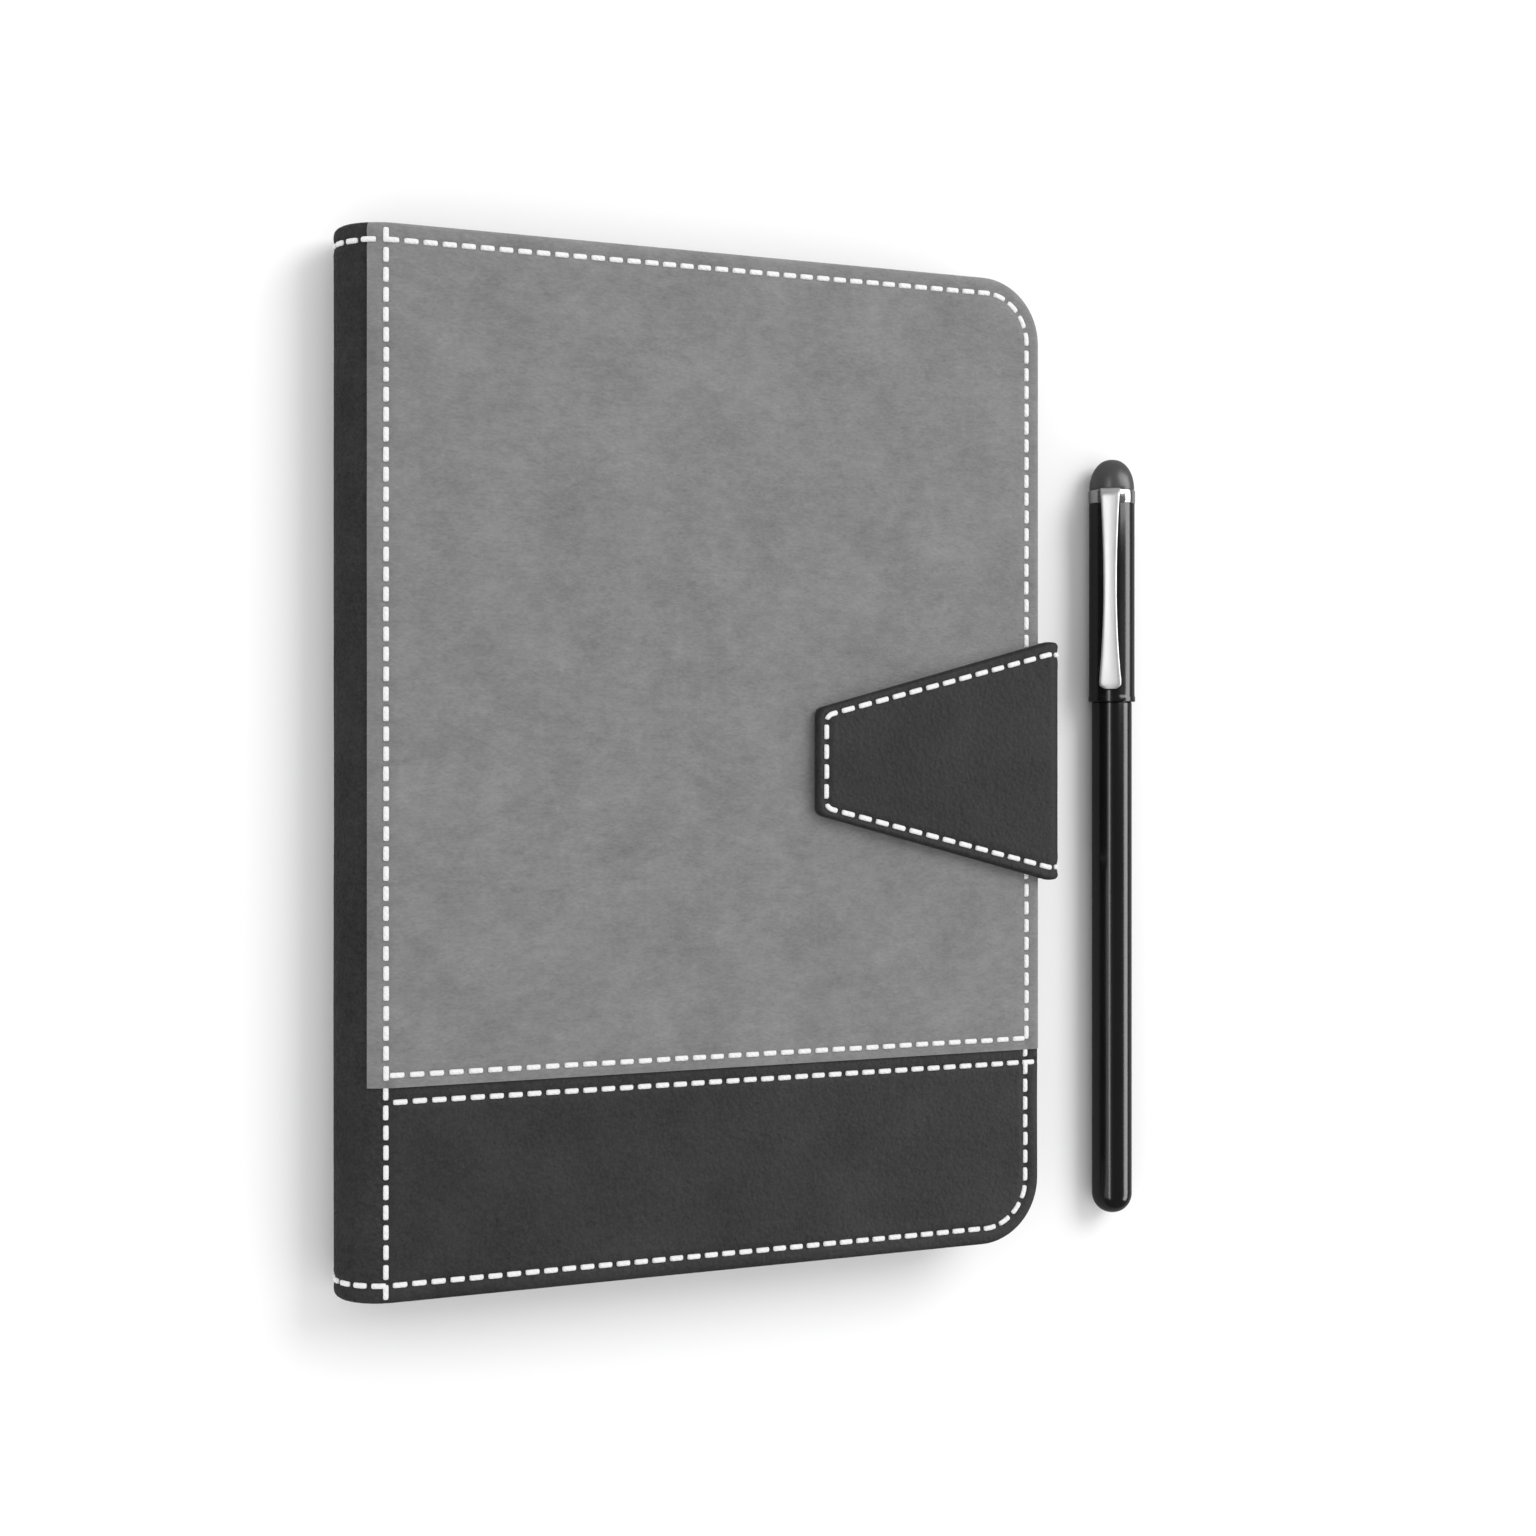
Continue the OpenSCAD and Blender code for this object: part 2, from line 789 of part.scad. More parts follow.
module pen_end_plug() {
    color("#141416") on_pen(barrel_r) {
        mirror([0, 0, 1]) half_ball(barrel_r);
        cylinder(h = plug_l, r = bore_r - slip);
    }
}

// The writing end under the cap: a grip and cone, stuck into the barrel, bored for the refill
module pen_grip() {
    s0 = cap_s + neck_l - face_gap;
    plug = 4;
    color("#1c1c1e") difference() {
        on_pen(s0) union() {
            cylinder(h = grip_l, r = grip_r);
            translate([0, 0, grip_l]) cylinder(h = cone_l, r1 = grip_r, r2 = nib_r);
            translate([0, 0, -plug]) cylinder(h = plug, r = bore_r - slip);
        }
        on_pen(s0 - plug - past) cylinder(h = plug + past + grip_l + cone_l - cone_tip, r = refill_r + 0.1);
        on_pen(s0) cylinder(h = grip_l + cone_l + past, r = point_r + 0.1);
    }
}

module pen_refill() {
    s0 = 22;                                    // lower end of the ink tube
    s1 = cap_s + neck_l - face_gap + grip_l + cone_l;
    point_l = 1.6;                              // how far the point stands out of the cone
    tube_top = s1 - cone_tip - 0.2;
    color("#c9b27a") {
        on_pen(s0) cylinder(h = tube_top - s0, r = refill_r);
        on_pen(tube_top - 0.8) cylinder(h = s1 + point_l - tube_top + 0.8, r = point_r);
        on_pen(s1 + point_l) half_ball(point_r);
    }
}

module pen_cap() {
    lip_h = 0.9;
    lip_rise = 0.08;
    color("#141416") union() {
        on_pen(cap_s) tube(cap_l, cap_d / 2 - lip_rise, cap_bore_r);
        on_pen(cap_s) tube(lip_h, cap_d / 2, cap_bore_r);
    }
}

module cap_liner() {
    l = 15;
    play = 0.15;                                // gap round the grip
    color("#d8d8d6") on_pen(ring_s - l) tube(l - face_gap, cap_bore_r - slip, grip_r + play);
}

module cap_ring() {
    color("#d6d6da") on_pen(ring_s) tube(ring_h, cap_d / 2 - slip, ring_bore_r);
}

module stylus_dome() {
    r = cap_d / 2 - 0.25;
    color("#3a3a3c") on_pen(dome_s) {
        cylinder(h = dome_h - r, r = r);
        translate([0, 0, dome_h - r]) half_ball(r);
        translate([0, 0, -ring_h]) cylinder(h = ring_h, r = ring_bore_r - slip);
    }
}

// Half the clip's width at a share t of its length, waisted in the middle
function clip_half(t) = (clip_waist_w + (clip_top_w - clip_waist_w) * pow(2 * t - 1, 2)) / 2;

module clip_outline() {
    steps = 16;
    right = [for (i = [0:steps]) [clip_half(i / steps), clip_l * i / steps]];
    left = [for (i = [steps:-1:0]) [-clip_half(i / steps), clip_l * i / steps]];
    polygon(concat(right, left));
    circle(d = clip_top_w);
}

// The clip stands off the cap on its root, and its foot rests near the cap's surface
module pen_clip() {
    root_s = clip_l - 2.4;
    root_l = 2.2;
    root_gap = 0.15;
    foot_gap = 0.1;
    color("#d6d6da") on_pen(dome_s - clip_l) rotate([0, 0, -clip_lean]) union() {
        translate([0, -clip_r, 0]) rotate([90, 0, 0]) linear_extrude(clip_t) clip_outline();
        translate([-clip_top_w / 2, -clip_r - clip_t / 2, root_s])
            cube([clip_top_w, clip_t / 2 + clip_lift - root_gap, root_l]);
        translate([0, -clip_r + clip_lift - clip_foot_r - foot_gap, 0]) sphere(clip_foot_r);
    }
}

back_leather();
back_board();
back_lining();
back_stitching();
tab_root();
pen_loop();
holder_tray();
spine_lower_leather();
spine_lower_slat();
spine_lower_lining();
spine_middle_leather();
spine_middle_slat();
spine_middle_lining();
spine_upper_leather();
spine_upper_slat();
spine_upper_lining();
spine_upper_panel();
front_leather();
front_panel();
front_board();
front_lining();
front_stitching();
keeper_plate();
tab_strip();
tab_flap_leather();
tab_flap_lining();
tab_magnet();
tab_stitching();
device_housing();
front_bezel();
touch_glass();
screen_gasket();
display_panel();
chassis_plate();
battery();
main_board();
shield_cans();
charging_board();
charging_socket();
headphone_jack();
speaker();
vibration_motor();
camera_module();
camera_window();
display_flex();
board_flex();
key_switches();
housing_screws();
home_button();
power_button();
volume_rocker();
pen_barrel();
pen_grip();
pen_refill();
pen_end_plug();
pen_cap();
cap_liner();
cap_ring();
stylus_dome();
pen_clip();
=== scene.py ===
"""Looks for a touch-screen handheld in a stitched leather folio, with a capped stylus pen beside it."""
import math

import bpy
import numpy as np
from mathutils import Matrix, Vector, kdtree, noise


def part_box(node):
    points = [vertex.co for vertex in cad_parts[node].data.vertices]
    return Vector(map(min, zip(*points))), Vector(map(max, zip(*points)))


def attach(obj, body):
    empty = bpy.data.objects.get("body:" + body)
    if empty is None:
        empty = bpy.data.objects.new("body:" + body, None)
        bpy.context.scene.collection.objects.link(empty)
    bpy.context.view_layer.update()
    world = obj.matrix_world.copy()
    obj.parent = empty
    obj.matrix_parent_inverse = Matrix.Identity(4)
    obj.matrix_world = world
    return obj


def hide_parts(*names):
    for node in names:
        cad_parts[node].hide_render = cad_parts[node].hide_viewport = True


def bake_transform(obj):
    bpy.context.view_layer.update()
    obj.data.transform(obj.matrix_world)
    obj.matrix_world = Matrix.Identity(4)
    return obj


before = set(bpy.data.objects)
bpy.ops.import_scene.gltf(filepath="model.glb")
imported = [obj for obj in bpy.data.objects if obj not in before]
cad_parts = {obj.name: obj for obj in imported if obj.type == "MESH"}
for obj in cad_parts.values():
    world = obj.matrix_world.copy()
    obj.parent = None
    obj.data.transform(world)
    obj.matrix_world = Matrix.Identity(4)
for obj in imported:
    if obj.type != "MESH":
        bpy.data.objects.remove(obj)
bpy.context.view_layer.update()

MM = 0.001


def span(node):
    """A CAD node's lowest and highest corners, in millimetres."""
    low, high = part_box(node)
    return np.array(low) / MM, np.array(high) / MM


# ---------- sizes in millimetres, worked out from the frame ----------

# Folio
panel_low, panel_high = span("front_panel")
lining_low, lining_high = span("front_lining")
fore_x, head_y, shell_z = span("front_leather")[1]
spine_r = shell_z / 2
spine_x = spine_r - fore_x
spine_l = math.pi * spine_r                     # length of leather round the spine
band_y = panel_low[1]                           # lower edge of the grey panel
panel_t = panel_high[2] - shell_z
lining_t = lining_high[2] - lining_low[2]
core_t = shell_z - lining_low[2] - lining_t     # leather and board together
spine_core_t = 1.9                              # leather and slat together
corner_r = 12.5
cover_l = fore_x - spine_x
panel_edge_s = -math.radians(34) * spine_r      # where the grey panel ends on the spine

# Stitching
pitch = 3.5
stitch_l = 2.6
thread_w = 0.98
thread_rise = 0.24
seam_inset = 3.25                               # cover edge to the middle of the thread
panel_seam_off = 2.2                            # panel's lower edge to the seam on the panel
band_seam_off = 2.6                             # and to the seam on the black band
seam_s = -2.0                                   # the upright seam beside the spine

# Tab
strip_low, strip_high = span("tab_strip")
flap_low, flap_high = span("tab_flap_leather")
tab_half = strip_high[1]
bend_x = strip_low[0]
bend_r = strip_high[0] - bend_x
flap_z = flap_high[2]
bend_z = flap_z - bend_r
tab_lining_z = span("tab_flap_lining")[0][2]
tab_t = flap_z - tab_lining_z
flap_l = bend_x - flap_low[0]
tip_half = 10
tip_r = 1.8
bend_l = bend_r * math.pi / 2
strip_l = bend_z - bend_r
tab_pitch = 3.75
tab_stitch_l = 2.75
tab_tip_inset = 1.8                             # tip to the seam
tab_side_inset = (1.65, 2.45)                   # sides to the seam, at the tip and at the root

# Pen
cap_low, cap_high = span("pen_cap")
pen_x = (cap_low[0] + cap_high[0]) / 2
pen_z = (cap_low[2] + cap_high[2]) / 2
cap_r = (cap_high[0] - cap_low[0]) / 2
barrel_r = (span("pen_barrel")[1][0] - span("pen_barrel")[0][0]) / 2
clip_lean = math.radians(36)


# ---------- places on the folio and on the tab ----------

def on_folio(p):
    """Points (s, y, h) of the unrolled folio, in place. s is 0 where the front cover meets the round
    spine, positive over the front and negative round the spine and the back. h is the height above
    the black leather. Nothing goes under the table."""
    clear_z = 0.02
    s, y, h = p.T
    turn = np.clip(-s / spine_r, 0, math.pi)
    r = spine_r + h
    over = np.maximum(s, 0) + np.maximum(-s - spine_l, 0)
    z = np.maximum(spine_r + r * np.cos(turn), clear_z)
    return np.stack([spine_x + over - r * np.sin(turn), y, z], 1)


def on_tab(p):
    """Points (q, v, g) of the unrolled tab, in place. q is 0 where the flap meets its bend and grows
    towards the tip, v is across the tab and g is the height above its outside."""
    q, v, g = p.T
    r = bend_r + g
    upper = np.clip(-q / bend_r, 0, math.pi / 2)
    down = np.clip(-q - bend_l, 0, strip_l)
    lower = np.clip((-q - bend_l - strip_l) / bend_r, 0, math.pi / 2)
    under = np.maximum(-q - 2 * bend_l - strip_l, 0)
    x = bend_x - np.maximum(q, 0) + r * np.sin(upper + lower) - under
    z = bend_z - down + r * np.cos(upper + lower)
    return np.stack([x, -v, z], 1)


def same_place(p):
    """Points that are already in place."""
    return p


# ---------- mesh helpers ----------

def new_piece(name, points, faces, place=same_place, smooth=40):
    """A mesh object from points in millimetres. The unrolled points stay as its texture places."""
    points = np.asarray(points, float)
    mesh = bpy.data.meshes.new(name)
    mesh.from_pydata((place(points) * MM).tolist(), [], faces)
    rest = mesh.attributes.new("rest", "FLOAT_VECTOR", "POINT")
    rest.data.foreach_set("vector", points.astype(np.float32).ravel())
    mesh.shade_smooth()
    mesh.set_sharp_from_angle(angle=math.radians(smooth))
    piece = bpy.data.objects.new(name, mesh)
    bpy.context.scene.collection.objects.link(piece)
    return piece


def finish_piece(piece, finish, body, replaced=()):
    """Gives a piece the material of its finish and attaches it to the one body that it follows; given two
    joined bodies, it only bakes the piece's place.
    """
    material, slot = finish
    piece.data.materials.append(material)
    if isinstance(body, str):
        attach(piece, body)
    else:
        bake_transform(piece)
    if replaced:
        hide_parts(*replaced)


def add_piece(name, shape, place, finish, body, replaced=()):
    """A finished piece from the points and faces of its shape."""
    finish_piece(new_piece(name, *shape, place), finish, body, replaced)


def tube_faces(rows, around, first=0):
    """Faces round a tube made of rings of points, and over both of its ends."""
    faces = []
    for row in range(rows - 1):
        for j in range(around):
            a, b = first + row * around + j, first + row * around + (j + 1) % around
            faces.append([a + around, b + around, b, a])
    faces.append([first + j for j in range(around)])
    faces.append([first + (rows - 1) * around + j for j in range(around)][::-1])
    return faces


def full_turn(around):
    """Directions spaced evenly round a circle."""
    return 2 * math.pi * np.arange(around) / around


def layer(blocks, cap, rows, far_wall=False, low_wall=False):
    """Points and faces of a closed layer. Each block is a run of edge places (s, y) with their outward
    normals and the cap point that each one leads to. rows are (inset, height) from the upper face,
    round the edge, to the lower face. The cap grid fills both faces inside the edge."""
    ns, ny = cap.shape[0], cap.shape[1]
    flat = cap.reshape(-1, 2)
    top = np.column_stack([flat, np.full(len(flat), rows[0][1])])
    under = np.column_stack([flat, np.full(len(flat), rows[-1][1])])
    points = [top, under]
    size = len(flat)
    count = 2 * size
    last = len(rows) - 1
    faces = []
    for base, normal, leads in blocks:
        for inset, height in rows[1:-1]:
            ring = base - normal * inset
            points.append(np.column_stack([ring, np.full(len(ring), height)]))
        width = len(base)

        def at(row, column, first=count, leads=leads, width=width):
            if row == 0:
                return leads[column]
            if row == last:
                return leads[column] + size
            return first + (row - 1) * width + column

        count += (len(rows) - 2) * width
        for row in range(last):
            for j in range(width - 1):
                face = [at(row, j), at(row, j + 1), at(row + 1, j + 1), at(row + 1, j)]
                face = list(dict.fromkeys(face))
                if len(face) > 2:
                    faces.append(face)
        faces.append([at(row, 0) for row in range(last + 1)])
        faces.append([at(row, width - 1) for row in range(last, -1, -1)])
    i, k = np.meshgrid(np.arange(ns - 1), np.arange(ny - 1), indexing="ij")
    a = (i * ny + k).ravel()
    b, c, d = a + ny, a + ny + 1, a + 1
    faces += np.stack([a, d, c, b], 1).tolist()
    faces += (np.stack([a, b, c, d], 1) + size).tolist()
    faces += [[k + 1, k, size + k, size + k + 1] for k in range(ny - 1)]
    if far_wall:
        end = (ns - 1) * ny
        faces += [[end + k, end + k + 1, size + end + k + 1, size + end + k] for k in range(ny - 1)]
    if low_wall:
        edge = [i * ny + ny - 1 for i in range(ns)]
        faces += [[edge[i + 1], edge[i], size + edge[i], size + edge[i + 1]] for i in range(ns - 1)]
    return np.concatenate(points), faces


def arc_insets(radius, steps=6):
    """How far in, and how far down, at each step round a rounded edge."""
    turns = [math.pi / 2 * i / steps for i in range(steps + 1)]
    return [(radius * (1 - math.sin(t)), radius * (1 - math.cos(t))) for t in turns]


def edge_rows(reach, top, low, round_top, round_low, insets=()):
    """Rows of a padded edge, from the top face round to the under face."""
    rows = [(reach, top)] + [(d, top) for d in insets]
    rows += [(d, top - drop) for d, drop in arc_insets(round_top)]
    rows += [(d, low + drop) for d, drop in reversed(arc_insets(round_low, 4))]
    rows += [(round_low + 1.4, low), (reach, low)]
    return rows


def lines(start, end, step, fine=()):
    """Grid lines from start to end about step apart, with closer ones round each fine place."""
    near = (0.35, 0.65, 0.95, 1.3)
    count = max(1, round(abs(end - start) / step))
    places = list(np.linspace(start, end, count + 1))
    for place in fine:
        places = [p for p in places if abs(p - place) > near[-1] + 0.05 or p in (start, end)]
        places += [place] + [place + side * d for side in (-1, 1) for d in near]
    low, high = min(start, end), max(start, end)
    return np.array(sorted({p for p in places if low <= p <= high}, reverse=bool(end < start)))


def run(places):
    """A block for layer() from the place, the outward normal and the cap point of each edge place."""
    base, normals, leads = zip(*places)
    return np.array(base, float), np.array(normals, float), leads


def cap_grid(s_lines, y_lines):
    return np.array([[(s, y) for y in y_lines] for s in s_lines])


def mirrored(places, ny):
    """The same edge places on the other side of the middle, in the opposite order."""
    return [((s, -y), (ahead, -aside), lead + ny - 1)
            for (s, y), (ahead, aside), lead in reversed(places)]


def corner_places(centre, radius, turns, lead):
    """Edge places round a corner, for turns from its side towards its end."""
    return [((centre[0] + radius * math.sin(a), centre[1] + radius * math.cos(a)),
             (math.sin(a), math.cos(a)), lead) for a in turns]


def cover_layer(rows, s_lines, y_lines, full=True, pulled=0.0):
    """A layer of a cover: head edge, fore corner, fore edge and, when full, the tail side too. Under
    the grey panel its edge is pulled in by so much."""
    ny = len(y_lines)
    last = (len(s_lines) - 1) * ny
    steps = 16
    turns = [math.pi / 2 * i / steps for i in range(1, steps)]
    head = [((s, head_y), (0, 1), i * ny) for i, s in enumerate(s_lines)]
    head += corner_places((s_lines[-1], head_y - corner_r), corner_r, turns, last)
    fore = [((cover_l, y), (1, 0), last + k) for k, y in enumerate(y_lines)]
    base, normals, leads = run(head + fore + (mirrored(head, ny) if full else []))
    under_panel = (base[:, 1] > band_y)[:, None]
    block = base - normals * pulled * under_panel, normals, leads
    return layer([block], cap_grid(s_lines, y_lines), rows, low_wall=not full)


def spine_layer(rows, s_lines, y_lines):
    """A layer of the spine, open at both ends of its arc, closed by walls."""
    ny = len(y_lines)
    head = [((s, head_y), (0, 1), i * ny) for i, s in enumerate(s_lines)]
    blocks = [run(head), run(mirrored(head, ny))]
    return layer(blocks, cap_grid(s_lines, y_lines), rows, far_wall=True)


# ---------- seams ----------

class Path:
    """A line in the unrolled plane that can be asked for the point at a distance along it."""

    def __init__(self, points):
        self.points = np.array(points, float)
        steps = np.linalg.norm(np.diff(self.points, axis=0), axis=1)
        self.reach = np.concatenate([[0], np.cumsum(steps)])
        self.length = self.reach[-1]

    def at(self, distance):
        return np.stack([np.interp(distance, self.reach, self.points[:, i]) for i in (0, 1)], -1)

    def direction(self, distance):
        step = self.at(distance + 0.15) - self.at(distance - 0.15)
        return step / np.maximum(np.linalg.norm(step, axis=-1, keepdims=True), 1e-9)


def corner_arc(centre, radius, start, end, steps=24):
    """Points of an arc between two directions, in degrees."""
    turns = np.radians(np.linspace(start, end, steps + 1))
    return [(centre[0] + radius * math.cos(t), centre[1] + radius * math.sin(t)) for t in turns]


def edge_path(s_start):
    """The seam that follows a cover's free edges, from the spine at the head to the spine at the tail."""
    radius = corner_r - seam_inset
    centre_s, centre_y = cover_l - corner_r, head_y - corner_r
    return Path([(s_start, head_y - seam_inset)]
                + corner_arc((centre_s, centre_y), radius, 90, 0)
                + corner_arc((centre_s, -centre_y), radius, 0, -90)
                + [(s_start, seam_inset - head_y)])


def stitch_spans(length, first=0.0, step=pitch):
    """The start of each stitch that fits on a path of this length, with equal gaps."""
    count = int((length - first - stitch_l) / step) + 1
    return [first + step * i for i in range(count)]


def front_surface(s, y):
    """Height of the front's outside above the black leather."""
    return panel_t if y > band_y and s > panel_edge_s else 0.0


class Seams:
    """All stitches of a part, as (path, start, length), their holes and the line they follow."""

    def __init__(self):
        self.stitches = []
        self.holes = []
        self.line = []

    def add(self, path, starts, stitch=stitch_l):
        gap = (pitch - stitch) / 2
        for start in starts:
            self.stitches.append((path, start, stitch))
            self.holes += [path.at(start - gap * 0.5), path.at(start + stitch + gap * 0.5)]
        low, high = starts[0], starts[-1] + stitch
        self.line += list(path.at(np.arange(low, high, 0.2)))

    def depth(self, points, groove, hole):
        """How far each point (s, y) is drawn down by the thread. The surface swells beside it."""
        reach = 2.4
        groove_r = 0.8
        hole_r = 0.55
        swell_off, swell_r, swell = 1.5, 0.5, 0.3
        near_line, near_hole = kdtree.KDTree(len(self.line)), kdtree.KDTree(len(self.holes))
        for tree, places in ((near_line, self.line), (near_hole, self.holes)):
            for index, place in enumerate(places):
                tree.insert((place[0], place[1], 0), index)
            tree.balance()
        out = np.zeros(len(points))
        for index, (s, y) in enumerate(points):
            away = near_line.find((s, y, 0))[2]
            if away < reach:
                out[index] = groove * math.exp(-(away / groove_r) ** 2)
                out[index] -= swell * groove * math.exp(-((away - swell_off) / swell_r) ** 2)
                out[index] += hole * math.exp(-(near_hole.find((s, y, 0))[2] / hole_r) ** 2)
        return out


def threads(name, seams, keep, surface, place, side=1):
    """Puffed stitches whose middle passes keep(s, y). side is -1 for thread under a layer."""
    along, around = 11, 10
    share = np.sin(np.linspace(-1, 1, along) * math.pi / 2)
    width = 0.5 * thread_w * (1 - 0.3 * np.abs(share) ** 12)
    rise = -0.30 * np.abs(share) ** 9
    turns = full_turn(around)
    across = np.sign(np.cos(turns)) * np.abs(np.cos(turns)) ** 0.8
    up = np.sin(turns)
    half_rise = 0.34
    points, faces = [], []
    for number, (path, start, stitch) in enumerate(seams.stitches):
        middle = path.at(start + stitch / 2)
        if not keep(*middle):
            continue
        jitter = Vector((number * 0.37, start * 0.21, 0.5))
        shift = 0.05 * noise.noise(jitter)
        lift = 0.03 * noise.noise(jitter + Vector((7, 0, 0)))
        reach = start + stitch * (share + 1) / 2
        centre = path.at(reach)
        ahead = path.direction(reach)
        aside = np.stack([-ahead[:, 1], ahead[:, 0]], 1)
        level = surface(*middle)
        faces += [face[::-side] for face in tube_faces(along, around, len(points) * around)]
        for row in range(along):
            flat = centre[row] + aside[row] * (width[row] * across + shift)[:, None]
            height = level + side * (thread_rise - half_rise + lift + rise[row] + half_rise * up)
            points.append(np.column_stack([flat, height]))
    return new_piece(name, np.concatenate(points), faces, place, smooth=80)


def ripple(points, size, amount, seed=0.0):
    """Slow unevenness over a surface."""
    return np.array([amount * noise.noise(Vector((s / size, y / size, seed))) for s, y in points])


def relief(points, top, seams, groove=0.2, hole=0.2):
    """Draws the upper face down along the seams and makes it slightly uneven."""
    face_depth = 0.7
    upper = points[:, 2] > top - face_depth
    flat = points[upper, :2]
    points[upper, 2] += ripple(flat, 26, 0.07) + ripple(flat, 7, 0.02, 4.0)
    points[upper, 2] -= seams.depth(flat, groove, hole)
    return points


# ---------- materials ----------

def new_material(name):
    """A new material with its node tree and its surface shader."""
    material = bpy.data.materials.new(name)
    material.use_nodes = True
    return material, material.node_tree, material.node_tree.nodes["Principled BSDF"]


def shader(name):
    """A new material for a piece, with its texture places in millimetres."""
    material, tree, surface = new_material(name)
    places = tree.nodes.new("ShaderNodeAttribute")
    places.attribute_name = "rest"
    return material, tree, surface, places.outputs["Vector"]


def cad_shader(name):
    """As shader(), for a CAD node, whose texture places are its own."""
    material, tree, surface = new_material(name)
    places = tree.nodes.new("ShaderNodeTexCoord")
    scaled = tree.nodes.new("ShaderNodeVectorMath")
    scaled.operation = "SCALE"
    scaled.inputs["Scale"].default_value = 1 / MM
    tree.links.new(places.outputs["Object"], scaled.inputs[0])
    return material, tree, surface, scaled.outputs["Vector"]


def noise_node(tree, places, size, detail=4.0, rough=0.55, stretch=None):
    """A noise texture whose features are about size millimetres across."""
    node = tree.nodes.new("ShaderNodeTexNoise")
    node.inputs["Scale"].default_value = 1 / size
    node.inputs["Detail"].default_value = detail
    node.inputs["Roughness"].default_value = rough
    if stretch:
        mapping = tree.nodes.new("ShaderNodeMapping")
        mapping.inputs["Scale"].default_value = stretch
        tree.links.new(places, mapping.inputs["Vector"])
        places = mapping.outputs["Vector"]
    tree.links.new(places, node.inputs["Vector"])
    return node.outputs["Fac"]


def pebbles_node(tree, places, size):
    """Rounded cells about size millimetres across."""
    node = tree.nodes.new("ShaderNodeTexVoronoi")
    node.feature = "SMOOTH_F1"
    node.inputs["Scale"].default_value = 1 / size
    tree.links.new(places, node.inputs["Vector"])
    return node.outputs["Distance"]


def ramp_node(tree, factor, stops):
    """A colour ramp through (place, colour) stops."""
    node = tree.nodes.new("ShaderNodeValToRGB")
    ramp = node.color_ramp
    while len(ramp.elements) < len(stops):
        ramp.elements.new(0.5)
    for element, (place, colour) in zip(ramp.elements, stops):
        element.position = place
        element.color = (*colour, 1)
    tree.links.new(factor, node.inputs["Fac"])
    return node.outputs["Color"]


def range_node(tree, factor, low, high):
    """A factor from 0 to 1, spread between two values."""
    node = tree.nodes.new("ShaderNodeMapRange")
    node.inputs["To Min"].default_value = low
    node.inputs["To Max"].default_value = high
    tree.links.new(factor, node.inputs["Value"])
    return node.outputs["Result"]


def mix_node(tree, *parts):
    """The sum of texture values, each times its share."""
    total = None
    for value, share in parts:
        scaled = tree.nodes.new("ShaderNodeMath")
        scaled.operation = "MULTIPLY"
        scaled.inputs[1].default_value = share
        tree.links.new(value, scaled.inputs[0])
        if total is None:
            total = scaled.outputs["Value"]
        else:
            added = tree.nodes.new("ShaderNodeMath")
            tree.links.new(total, added.inputs[0])
            tree.links.new(scaled.outputs["Value"], added.inputs[1])
            total = added.outputs["Value"]
    return total


def bump_node(tree, height, distance_mm, surface, strength=1.0):
    """Bump of this depth, on top of any that the surface already has."""
    node = tree.nodes.new("ShaderNodeBump")
    node.inputs["Strength"].default_value = strength
    node.inputs["Distance"].default_value = distance_mm * MM
    tree.links.new(height, node.inputs["Height"])
    if surface.inputs["Normal"].is_linked:
        tree.links.new(surface.inputs["Normal"].links[0].from_socket, node.inputs["Normal"])
    tree.links.new(node.outputs["Normal"], surface.inputs["Normal"])


def grey(value):
    return (value, value, value)


def set_values(surface, **values):
    """Sets the shader's own sockets, named here with low lines for spaces."""
    for name, value in values.items():
        surface.inputs[name.replace("_", " ")].default_value = value


def make_leather(name, low, high, depth=1.0):
    """Fine-grained coated leather: small pebbles, pores and a slow change of tone. Where it is
    stretched round a bend its grain is deeper."""
    material, tree, surface, places = shader(name)
    cloud = noise_node(tree, places, 14, 3)
    grain = noise_node(tree, places, 1.6, 6, 0.65)
    speck = noise_node(tree, places, 0.55, 3, 0.7)
    tone = mix_node(tree, (cloud, 0.3), (grain, 0.3), (speck, 0.4))
    tree.links.new(ramp_node(tree, tone, [(0.32, low), (0.7, high)]), surface.inputs["Base Color"])
    tree.links.new(range_node(tree, grain, 0.55, 0.7), surface.inputs["Roughness"])
    set_values(surface, Specular_IOR_Level=0.2, Sheen_Weight=0.05, Sheen_Roughness=0.35)
    pebbles = pebbles_node(tree, places, 0.75)
    bump_node(tree, pebbles, 0.16 * depth, surface, 0.7)
    bump_node(tree, grain, 0.22 * depth, surface, 0.6)
    return material


def make_suede(name, low, high):
    """Napped suede cloth: soft blotches where the nap leans, and short fibres."""
    material, tree, surface, places = shader(name)
    blotch = noise_node(tree, places, 13, 4, 0.62)
    nap = noise_node(tree, places, 1.7, 5, 0.72, stretch=(0.55, 1.0, 1.0))
    fibre = noise_node(tree, places, 0.5, 3, 0.65, stretch=(0.5, 1.0, 1.0))
    tone = mix_node(tree, (blotch, 0.34), (nap, 0.36), (fibre, 0.30))
    tree.links.new(ramp_node(tree, tone, [(0.34, low), (0.68, high)]), surface.inputs["Base Color"])
    set_values(surface, Roughness=0.92, Specular_IOR_Level=0.12)
    set_values(surface, Sheen_Weight=0.25, Sheen_Roughness=0.6, Sheen_Tint=(1, 1, 1, 1))
    bump_node(tree, fibre, 0.22, surface, 0.75)
    bump_node(tree, nap, 0.25, surface, 0.5)
    return material


